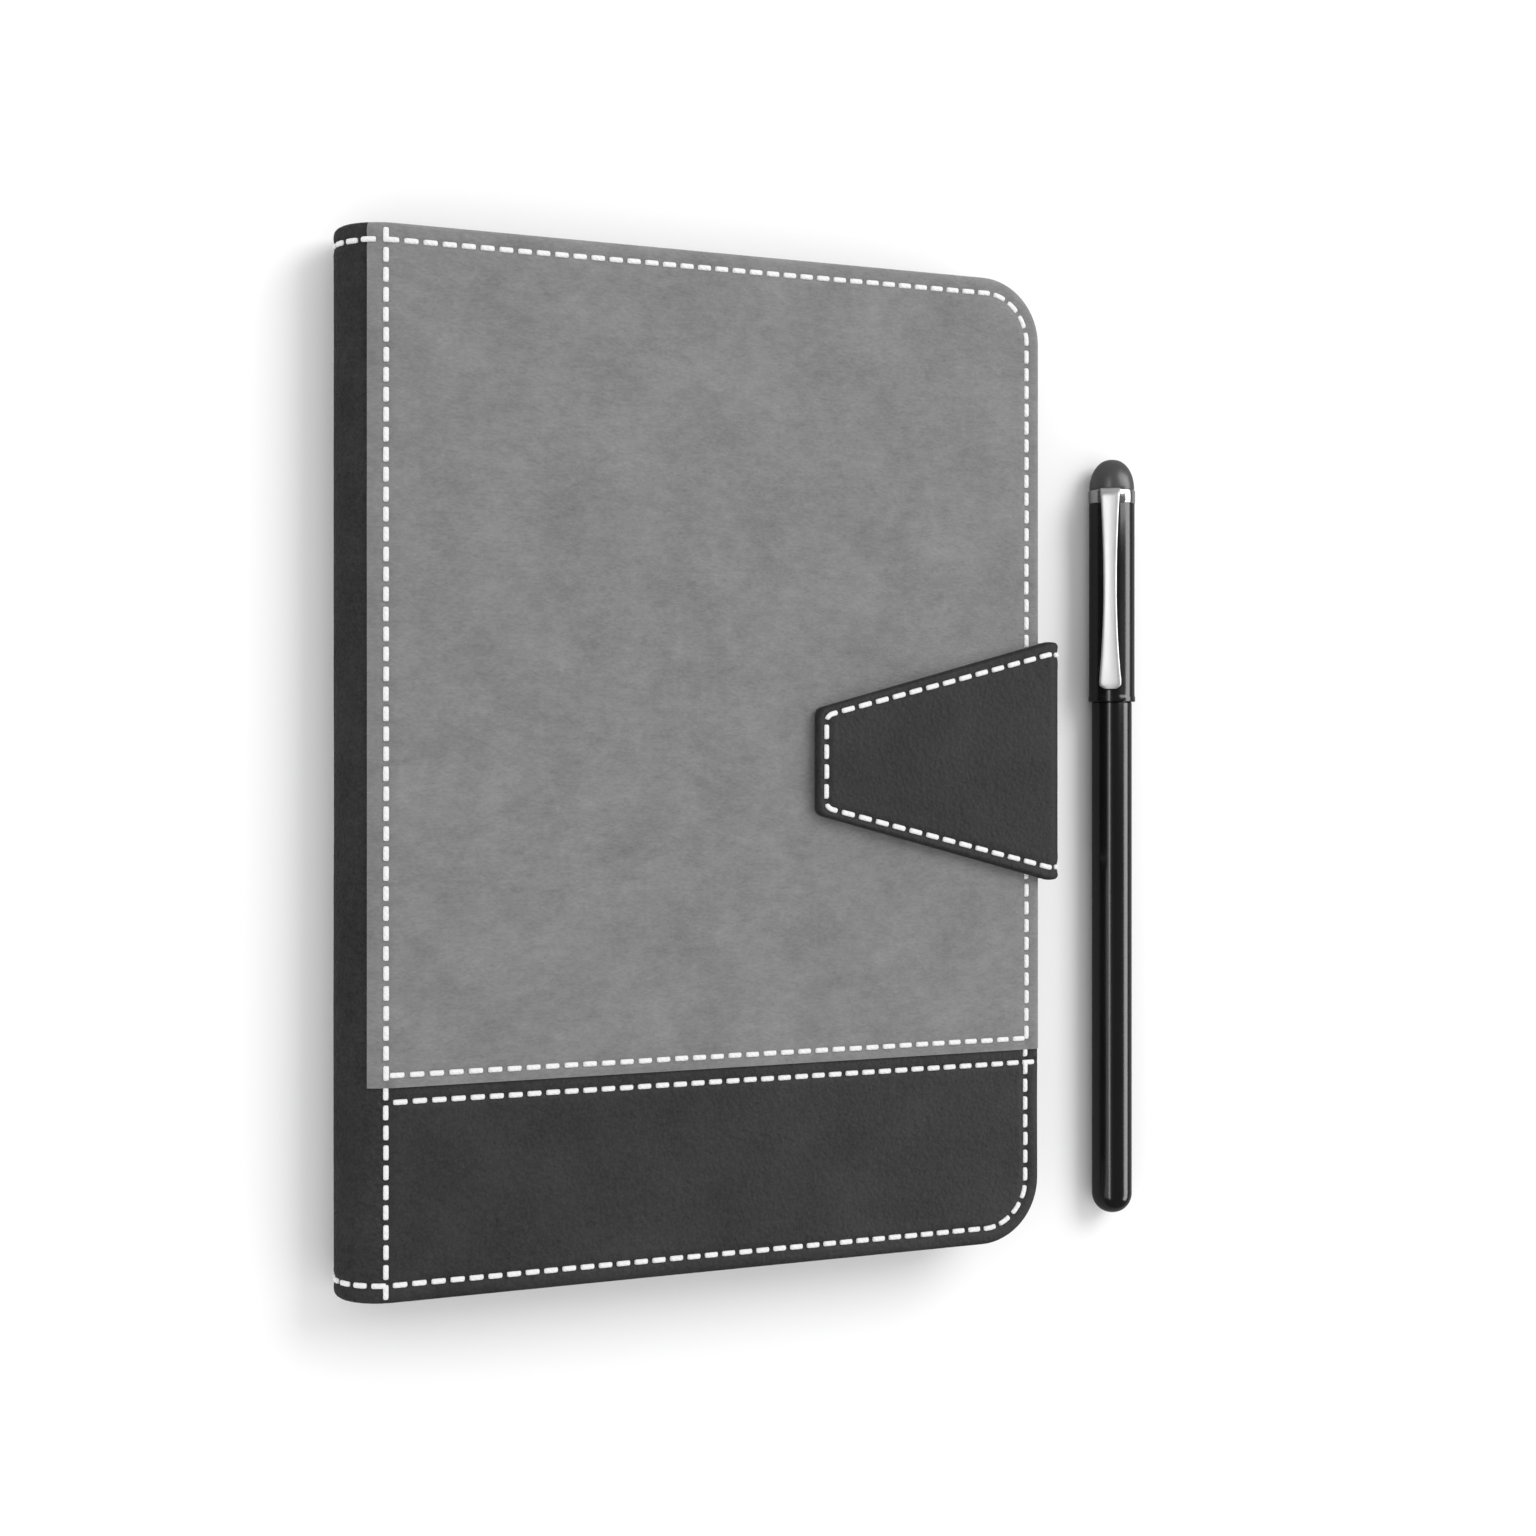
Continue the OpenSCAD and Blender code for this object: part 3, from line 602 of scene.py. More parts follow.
def make_thread(name, colour):
    """Waxed polyester thread with the slant of its twist."""
    material, tree, surface, places = shader(name)
    wave = tree.nodes.new("ShaderNodeTexWave")
    wave.wave_type = "BANDS"
    wave.bands_direction = "DIAGONAL"
    wave.inputs["Scale"].default_value = 0.55
    wave.inputs["Distortion"].default_value = 1.2
    wave.inputs["Detail"].default_value = 2
    tree.links.new(places, wave.inputs["Vector"])
    fuzz = noise_node(tree, places, 0.3, 3)
    low = tuple(c * 0.86 for c in colour)
    tree.links.new(ramp_node(tree, fuzz, [(0.3, low), (0.62, colour)]), surface.inputs["Base Color"])
    set_values(surface, Roughness=0.6, Specular_IOR_Level=0.3, Sheen_Weight=0.3)
    bump_node(tree, wave.outputs["Fac"], 0.10, surface, 0.5)
    bump_node(tree, fuzz, 0.05, surface, 0.6)
    return material


def make_lining(name, low, high):
    """Brushed microfibre lining."""
    material, tree, surface, places = shader(name)
    weave = noise_node(tree, places, 0.35, 2, 0.6, stretch=(1.0, 2.2, 1.0))
    cloud = noise_node(tree, places, 22, 3)
    tone = mix_node(tree, (weave, 0.5), (cloud, 0.5))
    tree.links.new(ramp_node(tree, tone, [(0.35, low), (0.65, high)]), surface.inputs["Base Color"])
    set_values(surface, Roughness=0.95, Specular_IOR_Level=0.1, Sheen_Weight=0.35)
    bump_node(tree, weave, 0.12, surface, 0.6)
    return material


def make_hard(name, colour, rough, metallic=0.0, coat=0.0, fine=0.5, depth=0.006):
    """Moulded plastic, paint, rubber or metal: slight change of tone, uneven gloss, fine texture."""
    material, tree, surface, places = cad_shader(name)
    cloud = noise_node(tree, places, 9, 3)
    speck = noise_node(tree, places, fine, 3, 0.6)
    low = tuple(c * 0.86 for c in colour)
    tree.links.new(ramp_node(tree, cloud, [(0.35, low), (0.65, colour)]), surface.inputs["Base Color"])
    gloss = range_node(tree, mix_node(tree, (cloud, 0.4), (speck, 0.6)), rough * 0.75, rough * 1.3)
    tree.links.new(gloss, surface.inputs["Roughness"])
    set_values(surface, Metallic=metallic, Coat_Weight=coat, Coat_Roughness=0.06)
    bump_node(tree, speck, depth, surface, 0.6)
    return material


def make_brushed(name, colour, rough):
    """Satin metal with faint lines along the pen."""
    material, tree, surface, places = cad_shader(name)
    brush = noise_node(tree, places, 0.35, 4, 0.6, stretch=(1.0, 0.08, 1.0))
    low = tuple(c * 0.93 for c in colour)
    tree.links.new(ramp_node(tree, brush, [(0.3, low), (0.7, colour)]), surface.inputs["Base Color"])
    tree.links.new(range_node(tree, brush, rough * 0.8, rough * 1.25), surface.inputs["Roughness"])
    set_values(surface, Metallic=0.8)
    bump_node(tree, brush, 0.004, surface, 0.5)
    return material


# Each finish is a material and the name of its slot
LEATHER = make_leather("black_leather", grey(0.012), grey(0.042)), "black_leather"
SPINE_LEATHER = make_leather("spine_leather", grey(0.009), grey(0.044), depth=3.0), "black_leather"
TAB_LEATHER = make_leather("tab_leather", grey(0.009), grey(0.034)), "black_leather"
SUEDE = make_suede("grey_suede", grey(0.130), grey(0.240)), "grey_suede"
THREAD = make_thread("white_thread", grey(0.80)), "white_thread"
LINING = make_lining("lining_fabric", grey(0.05), grey(0.09)), "lining_fabric"
ELASTIC = make_lining("elastic", grey(0.016), grey(0.03)), "elastic"
PEN_BLACK = make_hard("pen_black", grey(0.006), 0.2, coat=0.25, fine=0.8, depth=0.001), "pen_black"
PEN_RING = make_hard("pen_ring", grey(0.86), 0.12, metallic=1.0, depth=0.001), "pen_ring"
DOME = make_hard("dome_rubber", grey(0.075), 0.28, fine=0.12, depth=0.02), "dome_rubber"
CLIP = make_brushed("pen_metal", grey(0.82), 0.42), "pen_metal"

# Materials of the CAD nodes that stay
CAD_FINISHES = [
    (make_hard("steel_plate", grey(0.55), 0.35, metallic=1.0), ["keeper_plate"]),
    (make_hard("magnet_metal", grey(0.5), 0.25, metallic=1.0), ["tab_magnet"]),
    (make_hard("tray_plastic", grey(0.018), 0.5, fine=0.3, depth=0.02), ["holder_tray"]),
    (make_hard("housing_plastic", grey(0.045), 0.42, fine=0.25, depth=0.012),
     ["device_housing"]),
    (make_hard("bezel_plastic", grey(0.012), 0.2, coat=0.7, depth=0.002), ["front_bezel"]),
    (make_hard("touch_glass", (0.006, 0.007, 0.009), 0.05, coat=1.0, depth=0.0005),
     ["touch_glass", "camera_window"]),
    (make_hard("display", (0.010, 0.013, 0.017), 0.3), ["display_panel"]),
    (make_hard("gasket_foam", grey(0.015), 0.95, fine=0.2, depth=0.03), ["screen_gasket"]),
    (make_hard("chassis_metal", grey(0.5), 0.4, metallic=1.0), ["chassis_plate"]),
    (make_hard("battery_wrap", (0.03, 0.06, 0.12), 0.35), ["battery"]),
    (make_hard("circuit_board", (0.01, 0.09, 0.04), 0.35),
     ["main_board", "charging_board"]),
    (make_hard("plated_steel", grey(0.62), 0.3, metallic=1.0),
     ["shield_cans", "charging_socket", "vibration_motor", "housing_screws"]),
    (make_hard("small_plastic", grey(0.014), 0.4),
     ["headphone_jack", "speaker", "camera_module", "key_switches"]),
    (make_hard("flex_film", (0.42, 0.17, 0.02), 0.4), ["display_flex", "board_flex"]),
    (make_hard("key_metal", grey(0.55), 0.28, metallic=1.0), ["power_button", "volume_rocker"]),
    (make_hard("key_plastic", grey(0.02), 0.25, coat=0.4, depth=0.002), ["home_button"]),
    (make_hard("refill_brass", (0.62, 0.45, 0.18), 0.3, metallic=1.0), ["pen_refill"]),
    (make_hard("pen_grip_rubber", grey(0.02), 0.55, fine=0.2, depth=0.02), ["pen_grip"]),
    (make_hard("liner_white", grey(0.72), 0.5), ["cap_liner"]),
]


# ---------- folio ----------

cover_end = cover_l - corner_r
seam_insets = (9, 6.8, 5.4, 4.7, 4.3, 3.95, 3.6, seam_inset, 2.9, 2.55, 2.2, 1.8)
core_rows = edge_rows(corner_r, 0, -core_t, 1.2, 0.6, seam_insets)
panel_under = -core_t - panel_t                 # where the panel is turned in under the board
panel_rows = ([(corner_r, panel_t)] + [(d, panel_t) for d in seam_insets]
              + [(d, panel_t - drop) for d, drop in arc_insets(1.5)]
              + [(0, -1.4), (0, panel_under + 0.6), (0.2, panel_under + 0.15), (0.6, panel_under),
                 (2.1, panel_under), (2.1, -core_t), (0.5, -core_t), (0.5, -1), (1, -0.2), (1.6, 0),
                 (corner_r, 0)])
lining_under = -core_t - lining_t
lining_rows = [(corner_r, -core_t + 0.05), (2.4, -core_t + 0.05), (2.2, -core_t - 0.1),
               (2.2, lining_under + 0.2), (2.35, lining_under + 0.05), (2.6, lining_under),
               (corner_r, lining_under)]


def fold(bodies, start, end):
    """Two joined bodies and the places (x, z), in millimetres, between which a piece bends."""
    return bodies, (start[0] * MM, 0, start[1] * MM), (end[0] * MM, 0, end[1] * MM)


# Where the spine turns, as two quarter turns whose bent part ends clear of the covers
fold_near, fold_far = 2.3, 6.45
spine_middle_s = -spine_l / 2
back_seam_s = -spine_l - seam_s
UPPER_FOLD = fold(("spine_middle", "front_cover"), (spine_x - fold_far, shell_z - fold_far),
                  (spine_x - fold_near, shell_z - fold_near))
LOWER_FOLD = fold(("back_cover", "spine_middle"), (spine_x - fold_near, fold_near),
                  (spine_x - fold_far, fold_far))


def thin_spine(points):
    """Round the spine the layers are thinner than on the covers."""
    taper = 4
    outside_t = 0.9
    s = points[:, 0]
    away = np.clip(np.minimum(-s, s + spine_l) / taper, 0, 1)
    thin = 1 - (1 - spine_core_t / core_t) * away * away * (3 - 2 * away)
    inner = points[:, 2] < -outside_t
    points[inner, 2] = np.where(points[inner, 2] < -core_t, points[inner, 2] + core_t, 0) \
        + np.maximum(points[inner, 2], -core_t) * thin[inner]
    return points


def even_pitch(path):
    """The pitch nearest to the usual one that closes the path evenly."""
    return path.length / round(path.length / pitch)


# Seams of the front: round its edges, beside the spine, and either side of the panel's lower edge. Each
# starts so far along its path that its stitches fall as they do on the real cover.
front_seams, back_seams = Seams(), Seams()
rim = edge_path(seam_s)
rim_start = -0.35
front_seams.add(rim, stitch_spans(rim.length, rim_start, even_pitch(rim)))
upright = Path([(seam_s, head_y - 1.1), (seam_s, 0.6 - head_y)])
front_seams.add(upright, stitch_spans(upright.length))
seam_end = cover_l - 0.9
panel_seam = Path([(seam_s, band_y + panel_seam_off), (seam_end, band_y + panel_seam_off)])
panel_start, panel_pitch = 0.6, 3.61
front_seams.add(panel_seam, stitch_spans(panel_seam.length, panel_start, panel_pitch))
band_seam = Path([(seam_s, band_y - band_seam_off), (seam_end, band_y - band_seam_off)])
band_start, band_pitch = 1.3, 3.56
front_seams.add(band_seam, stitch_spans(band_seam.length, band_start, band_pitch))
head_start, tail_start = 1.7, 0.0
for y, first in ((head_y - seam_inset, head_start), (seam_inset - head_y, tail_start)):
    round_spine = Path([(seam_s, y), (back_seam_s, y)])
    front_seams.add(round_spine, stitch_spans(round_spine.length, first))
back_seams.add(rim, stitch_spans(rim.length, 0, even_pitch(rim)))
back_upright = Path([(seam_s, head_y - 1.1), (seam_s, 1.1 - head_y)])
back_seams.add(back_upright, stitch_spans(back_upright.length))

step = pitch / 4
cover_s = lines(seam_s, cover_end, step)
cover_y = lines(head_y - corner_r, corner_r - head_y, step, (band_y - band_seam_off,))
panel_y = lines(head_y - corner_r, band_y, step, (band_y + panel_seam_off,))
upper_s = lines(spine_middle_s, seam_s, 0.45)
lower_s = lines(back_seam_s, spine_middle_s, 0.45)
panel_spine_s = lines(panel_edge_s, seam_s, 0.4)
spine_y = lines(head_y - corner_r, corner_r - head_y, step)


def back_place(points):
    """The back cover is built like the front, then laid under it, facing down."""
    return on_folio(np.column_stack([-spine_l - points[:, 0], points[:, 1], points[:, 2]]))


def spine_panel_layer():
    """The strip of the grey panel that laps onto the spine, from its lower edge to the head."""
    head = [((s, head_y), (0, 1), i * len(panel_y)) for i, s in enumerate(panel_spine_s)]
    cap = cap_grid(panel_spine_s, panel_y)
    return layer([run(head)], cap, panel_rows, far_wall=True, low_wall=True)


def make_front():
    """The front cover's black leather and the grey panel over it."""
    points, faces = cover_layer(core_rows, cover_s, cover_y, pulled=0.5)
    add_piece("front_cover_leather", (relief(points, 0, front_seams), faces), on_folio, LEATHER,
              "front_cover", ["front_leather", "front_board"])
    points, faces = cover_layer(panel_rows, cover_s, panel_y, full=False)
    add_piece("front_cover_panel", (relief(points, panel_t, front_seams), faces), on_folio, SUEDE,
              "front_cover", ["front_panel"])


def make_spine():
    """The spine's skins, in an upper and a lower half, and the panel's lap over them."""
    points, faces = spine_panel_layer()
    add_piece("spine_panel_lap", (relief(points, panel_t, front_seams), faces), on_folio, SUEDE,
              UPPER_FOLD, ["spine_upper_panel"])
    halves = [("spine_upper", upper_s, UPPER_FOLD, ["spine_upper", "spine_middle"]),
              ("spine_lower", lower_s, LOWER_FOLD, ["spine_lower"])]
    for name, s_lines, bend, strips in halves:
        points, faces = spine_layer(core_rows, s_lines, spine_y)
        replaced = [strip + part for strip in strips for part in ("_leather", "_slat")]
        add_piece(name + "_cover", (thin_spine(relief(points, 0, front_seams)), faces), on_folio,
                  SPINE_LEATHER, bend, replaced)
        points, faces = spine_layer(lining_rows, s_lines, spine_y)
        add_piece(name + "_inside", (thin_spine(points), faces), on_folio, LINING, bend,
                  [strip + "_lining" for strip in strips])


def make_back_and_linings():
    """The back cover's leather, kept just above the table, and the lining inside both covers."""
    points, faces = cover_layer(core_rows, cover_s, spine_y)
    points = relief(points, 0, back_seams, groove=0.3)
    points[:, 2] = np.minimum(points[:, 2], -0.02)
    add_piece("back_cover_leather", (points, [f[::-1] for f in faces]), back_place, LEATHER,
              "back_cover", ["back_leather", "back_board"])
    points, faces = cover_layer(lining_rows, cover_s, spine_y)
    points[:, 2] += ripple(points[:, :2], 18, 0.03)
    add_piece("front_cover_inside", (points, faces), on_folio, LINING, "front_cover",
              ["front_lining"])
    add_piece("back_cover_inside", (points, [f[::-1] for f in faces]), back_place, LINING,
              "back_cover", ["back_lining"])


def make_folio_threads():
    def on_front(s, y):
        return s >= seam_s + 0.01

    def on_upper_spine(s, y):
        return spine_middle_s <= s < seam_s + 0.01

    def on_lower_spine(s, y):
        return s < spine_middle_s

    def on_rim(s, y):
        return s > 1 and (abs(y - band_y) > 3 or s > cover_l - seam_inset - 0.5)

    def off_spine(s, y):
        return s > 1

    def everywhere(s, y):
        return True

    def sunk(s, y):
        return -thread_rise - 0.03

    def inside(s, y):
        return -core_t - lining_t

    sets = [("front_cover_thread", front_seams, on_front, front_surface, "front_cover",
             ["front_stitching"]),
            ("spine_upper_thread", front_seams, on_upper_spine, front_surface, UPPER_FOLD, []),
            ("spine_lower_thread", front_seams, on_lower_spine, front_surface, LOWER_FOLD, []),
            ("back_cover_thread", back_seams, everywhere, sunk, "back_cover", []),
            ("front_inside_thread", front_seams, on_rim, inside, "front_cover", []),
            ("back_inside_thread", back_seams, off_spine, inside, "back_cover", ["back_stitching"])]
    for name, seams, keep, surface, body, replaced in sets:
        of_back = seams is back_seams
        piece = threads(name, seams, keep, surface, back_place if of_back else on_folio,
                        side=-1 if surface is inside else 1)
        if of_back:
            piece.data.flip_normals()
        finish_piece(piece, THREAD, body, replaced)


# ---------- closure tab ----------

slope = math.atan2(tab_half - tip_half, flap_l)


def half_width(q):
    """Half the tab's width at a distance along it."""
    return tab_half - (tab_half - tip_half) * max(q, 0) / flap_l


def tab_cap(q_lines, across):
    """Cap grid between the two long edges, with lines that follow the edges near them."""
    edge_w = 4
    grid = []
    for q in q_lines:
        half = half_width(q) - tip_r * (math.cos(slope) if q > 0 else 1)
        outer = [half - d for d in across]
        inner = list(np.linspace(half - edge_w, edge_w - half, 15))
        column = outer + inner + [-v for v in reversed(outer)]
        place = q - (tip_r * math.sin(slope) if q > 0 else 0)
        grid.append([(place, v) for v in column])
    return np.array(grid)


def tab_piece(q_lines, tip, top, low, round_top, round_low):
    """A stretch of the tab between two heights, with its rounded tip or cut off square."""
    cap = tab_cap(q_lines, across=(0, 0.25, 0.5, 0.75, 1.0, 1.3, 1.8, 2.6))
    ny = cap.shape[1]
    side = []
    for i, q in enumerate(q_lines):
        lean = slope if q > 0 else 0
        side.append(((q, half_width(q)), (math.sin(lean), math.cos(lean)), i * ny))
    rows = edge_rows(tip_r, top, low, round_top, round_low)
    if not tip:
        return layer([run(side), run(mirrored(side, ny))], cap, rows, far_wall=True)
    last = (len(q_lines) - 1) * ny
    steps = 8
    turns = [slope + (math.pi / 2 - slope) * i / steps for i in range(1, steps + 1)]
    side += corner_places(cap[-1][0], tip_r, turns, last)
    end = [((cap[-1][k][0] + tip_r, cap[-1][k][1]), (1, 0), last + k) for k in range(1, ny - 1)]
    return layer([run(side + end + mirrored(side, ny))], cap, rows)


def tab_path():
    """The tab's seam, from the back cover over the fore edge, round the tip and back."""
    root = -2 * bend_l - strip_l
    at_tip, at_root = (half - inset / math.cos(slope)
                       for half, inset in zip((half_width(flap_l), tab_half), tab_side_inset))
    lean = math.atan2(at_root - at_tip, flap_l)
    radius = 1.6
    turn = math.degrees(lean)
    centre_q = flap_l - tab_tip_inset - radius
    centre_v = at_root - centre_q * math.tan(lean) - radius / math.cos(lean)
    points = [(root, at_root), (0, at_root)]
    points += corner_arc((centre_q, centre_v), radius, 90 - turn, 0, 8)
    points += corner_arc((centre_q, -centre_v), radius, 0, turn - 90, 8)
    points += [(0, -at_root), (root, -at_root)]
    return Path(points)


def make_tab():
    """The flap, its bend, the strip down the fore edge and the root under the back cover."""
    seams = Seams()
    path = tab_path()
    middle = path.length / 2
    count = int((middle - 1) / tab_pitch)
    half_gap = (tab_pitch - tab_stitch_l) / 2
    seams.add(path, [middle + tab_pitch * i + half_gap for i in range(-count, count)], tab_stitch_l)

    flap_q, strip_q, root_q = 3.0, -bend_l - 2, -bend_l - strip_l + 2
    end_q = -2 * bend_l - strip_l - 0.7
    tip_line = flap_l - tip_r + tip_r * math.sin(slope)
    upper_bend = fold(("tab_flap", "tab_strip"), (bend_x - flap_q + 0.5, flap_z - 1),
                      (bend_x + bend_r - 1, bend_z - 1.5))
    lower_bend = fold(("back_cover", "tab_strip"), (bend_x + 0.6, 1.2),
                      (bend_x + bend_r - 1.2, bend_r + 1.6))
    near_tip = np.array([3, 2.3, 1.8, 1.4, 1.1, 0.85, 0.6, 0.3, 0])
    flap_lines = np.append(np.linspace(flap_q, tip_line - 4, 56), tip_line - near_tip)
    sections = [("tab_flap", flap_lines, "tab_flap", ["tab_flap_leather"]),
                ("tab_bend", np.linspace(strip_q, flap_q, 30), upper_bend, []),
                ("tab_strip", np.linspace(root_q, strip_q, 10), "tab_strip", ["tab_strip"]),
                ("tab_root", np.linspace(end_q, root_q, 24), lower_bend, ["tab_root"])]
    lining_top = tab_lining_z - flap_z + 0.5
    for name, q_lines, body, replaced in sections:
        is_flap = name == "tab_flap"
        points, faces = tab_piece(q_lines, is_flap, 0, lining_top - 0.15, 0.85, 0.5)
        points = relief(points, 0, seams, groove=0.22, hole=0.16)
        add_piece(name + "_cover", (points, faces), on_tab, TAB_LEATHER, body, replaced)
        shape = tab_piece(q_lines, is_flap, lining_top, -tab_t, 0.05, 0.45)
        replaced = ["tab_flap_lining"] if is_flap else []
        add_piece(name + "_lining", shape, on_tab, LINING, body, replaced)
    limits = [(flap_q, math.inf), (strip_q, flap_q), (root_q, strip_q), (-math.inf, root_q)]
    for (low, high), (name, _, body, _) in zip(limits, sections):
        piece = threads(name + "_thread", seams, lambda q, v: low <= q < high, lambda q, v: 0.0, on_tab)
        finish_piece(piece, THREAD, body, ["tab_stitching"] if name == "tab_flap" else [])


# ---------- pen ----------

def round_pen(y, r, around):
    """A ring of points round the pen's middle."""
    turns = full_turn(around)
    return np.column_stack([pen_x + r * np.cos(turns), np.full(around, y), pen_z + r * np.sin(turns)])


def lathe(name, profile, finish, body, replaced):
    """A turned piece from (distance along the pen, radius) pairs."""
    around = 96
    points = np.concatenate([round_pen(y, r, around) for y, r in profile])
    piece = new_piece(name, points, tube_faces(len(profile), around), smooth=35)
    finish_piece(piece, finish, body, replaced)


def rounded(y, r, size, way, steps=5):
    """Profile points round a small edge at (y, r). way is 1 going in along y and -1 coming out."""
    turns = [math.pi / 2 * i / steps for i in range(steps + 1)]
    rows = [(y - way * size * (1 - math.sin(t)), r - size * (1 - math.cos(t))) for t in turns]
    return rows if way > 0 else list(reversed(rows))


def make_pen():
    """The barrel with its round end, the cap, its ring and the rubber dome."""
    tip_r = 0.02                                    # a lathe's end, just short of its axis
    barrel_low, barrel_high = span("pen_barrel")
    ring_low, ring_high = span("cap_ring")
    tail, mouth, cap_end = barrel_low[1], cap_low[1], cap_high[1]

    # The barrel's closed end is a dome that flattens slightly at its tip
    end = [(tail - barrel_r * math.cos(t), max(barrel_r * math.sin(t) ** 0.96, tip_r))
           for t in np.linspace(0, math.pi / 2, 22)]
    lathe("pen_end_cover", end + [(tail + 0.02, barrel_r)], PEN_BLACK, "pen", ["pen_end_plug"])
    shoulder = mouth - 0.05
    neck_r, bore_r = 3.75, 3.1
    barrel = [(tail, barrel_r), (tail + 30, barrel_r), (shoulder - 30, barrel_r)]
    barrel += rounded(shoulder, barrel_r, 0.25, 1)
    barrel += [(shoulder, neck_r), (barrel_high[1], neck_r), (barrel_high[1], bore_r), (tail, bore_r)]
    lathe("pen_barrel_cover", barrel, PEN_BLACK, "pen", ["pen_barrel"])

    # The cap has a slightly raised lip at its mouth
    wall = cap_r - 0.12
    inner_r = 4.05
    cap = rounded(mouth, cap_r, 0.2, -1)
    cap += [(mouth + 0.9, cap_r), (mouth + 1.15, wall + 0.04), (mouth + 1.5, wall)]
    cap += [(cap_end - 12, wall)] + rounded(cap_end, wall, 0.12, 1)
    cap += [(cap_end, inner_r), (mouth, inner_r)]
    lathe("pen_cap_cover", cap, PEN_BLACK, "cap", ["pen_cap"])

    ring_r = cap_r - 0.02
    hole_r = 3
    base = ring_high[1]
    ring = rounded(ring_low[1], ring_r, 0.22, -1) + rounded(base, ring_r, 0.3, 1)
    ring += [(base, hole_r), (ring_low[1], hole_r)]
    lathe("cap_ring_cover", ring, PEN_RING, "cap", ["cap_ring"])

    dome_r = cap_r - 0.2
    rim_h = 0.25
    height = span("stylus_dome")[1][1] - base - rim_h
    dome = [(base, dome_r - 0.12), (base + rim_h, dome_r)]
    dome += [(base + rim_h + height * math.sin(t), max(dome_r * math.cos(t) ** 0.88, tip_r))
             for t in np.linspace(0, math.pi / 2, 26)[1:]]
    lathe("stylus_dome_cover", dome, DOME, "cap", ["stylus_dome"])


def on_clip(x, y, z):
    """Points beside the pen, where z is the distance from its middle towards the clip, in place."""
    return np.column_stack([pen_x + x * math.cos(clip_lean) - z * math.sin(clip_lean), y,
                            pen_z + x * math.sin(clip_lean) + z * math.cos(clip_lean)])


def make_clip():
    """A waisted metal strip, rounded along both edges, that turns down onto the cap at its top, and
    the foot that holds a pocket's edge against the cap."""
    top_y = span("cap_ring")[1][1]
    length = 40.5
    lift = 1.35
    thick = 0.85
    waist = 2.7
    tail_flare, top_flare = 1.95, 1.35
    tail_l = 0.7
    round_l = 1.3
    drop_l = 1.6
    rows, around = 64, 20
    turns = full_turn(around)
    round_x = np.sign(np.cos(turns)) * np.abs(np.cos(turns)) ** 0.45
    round_z = np.sign(np.sin(turns)) * np.abs(np.sin(turns)) ** 0.4
    points = []
    for row in range(rows + 1):
        place = row / rows * (length + tail_l) - tail_l
        share = min(max(place / length, 0), 1)
        flare = tail_flare if share < 0.5 else top_flare
        past_end = max(round_l - tail_l - place, 0) / round_l
        half = 0.5 * (waist + flare * (2 * share - 1) ** 2) * (1 - 0.45 * past_end ** 2.5)
        slim = 1 - 0.5 * past_end ** 2
        drop = 0.8 * max(place - (length - drop_l), 0) ** 2 / drop_l
        bow = 0.25 * math.sin(math.pi * share) - 0.3 * max(0, 1 - place / 6) ** 2
        x = half * round_x
        middle = cap_r + lift + thick / 2 + bow - drop
        z = middle + 0.5 * thick * slim * round_z - 0.1 * (x / half) ** 2
        points.append(on_clip(x, np.full(around, top_y - length + place), z))
    piece = new_piece("pen_clip_cover", np.concatenate(points), tube_faces(rows + 1, around), smooth=60)
    finish_piece(piece, CLIP, "clip", ["pen_clip"])

    foot_r = 0.85
    foot_x, foot_y, foot_z = 1.25, top_y - length + 1.2, cap_r + 0.95
    wide, long = 1.2, 1.9
    rings, around = 14, 24
    turns = full_turn(around)
    points = []
    for row in range(rings + 1):
        a = math.pi * row / rings
        r = max(foot_r * math.sin(a), 0.01)
        points.append(on_clip(foot_x + r * np.cos(turns) * wide, foot_y + r * np.sin(turns) * long,
                              np.full(around, foot_z + foot_r * math.cos(a))))
    piece = new_piece("pen_clip_foot", np.concatenate(points), tube_faces(rings + 1, around), smooth=80)
    finish_piece(piece, CLIP, "clip")


# ---------- pen loop and the carried-over CAD nodes ----------

def make_loop():
    """The elastic loop in the spine, as a ribbed band with a soft edge."""
    low, high = span("pen_loop")
    centre_z = (low[2] + high[2]) / 2
    outer = (high[0] - low[0]) / 2
    inner = outer - 0.6
    around, rib_rows = 96, 45
    turns = full_turn(around)
    ribs = 0.05 * np.abs(np.sin(np.arange(rib_rows) * math.pi / 4))
    y_rows = np.linspace(low[1], high[1], rib_rows)
    profile = [(y, outer - 0.08 + r) for y, r in zip(y_rows, ribs)]
    profile += [(y, inner) for y in (high[1], low[1])]
    points, faces = [], []
    for y, r in profile:
        points.append(np.column_stack([spine_x + r * np.cos(turns), np.full(around, y),
                                       centre_z + r * np.sin(turns)]))
    rows = len(profile)
    for row in range(rows):
        for j in range(around):
            a, b = row * around + j, row * around + (j + 1) % around
            c, d = ((row + 1) % rows) * around + (j + 1) % around, ((row + 1) % rows) * around + j
            faces.append([a, d, c, b])
    piece = new_piece("pen_loop_band", np.concatenate(points), faces, smooth=50)
    finish_piece(piece, ELASTIC, "back_cover", ["pen_loop"])


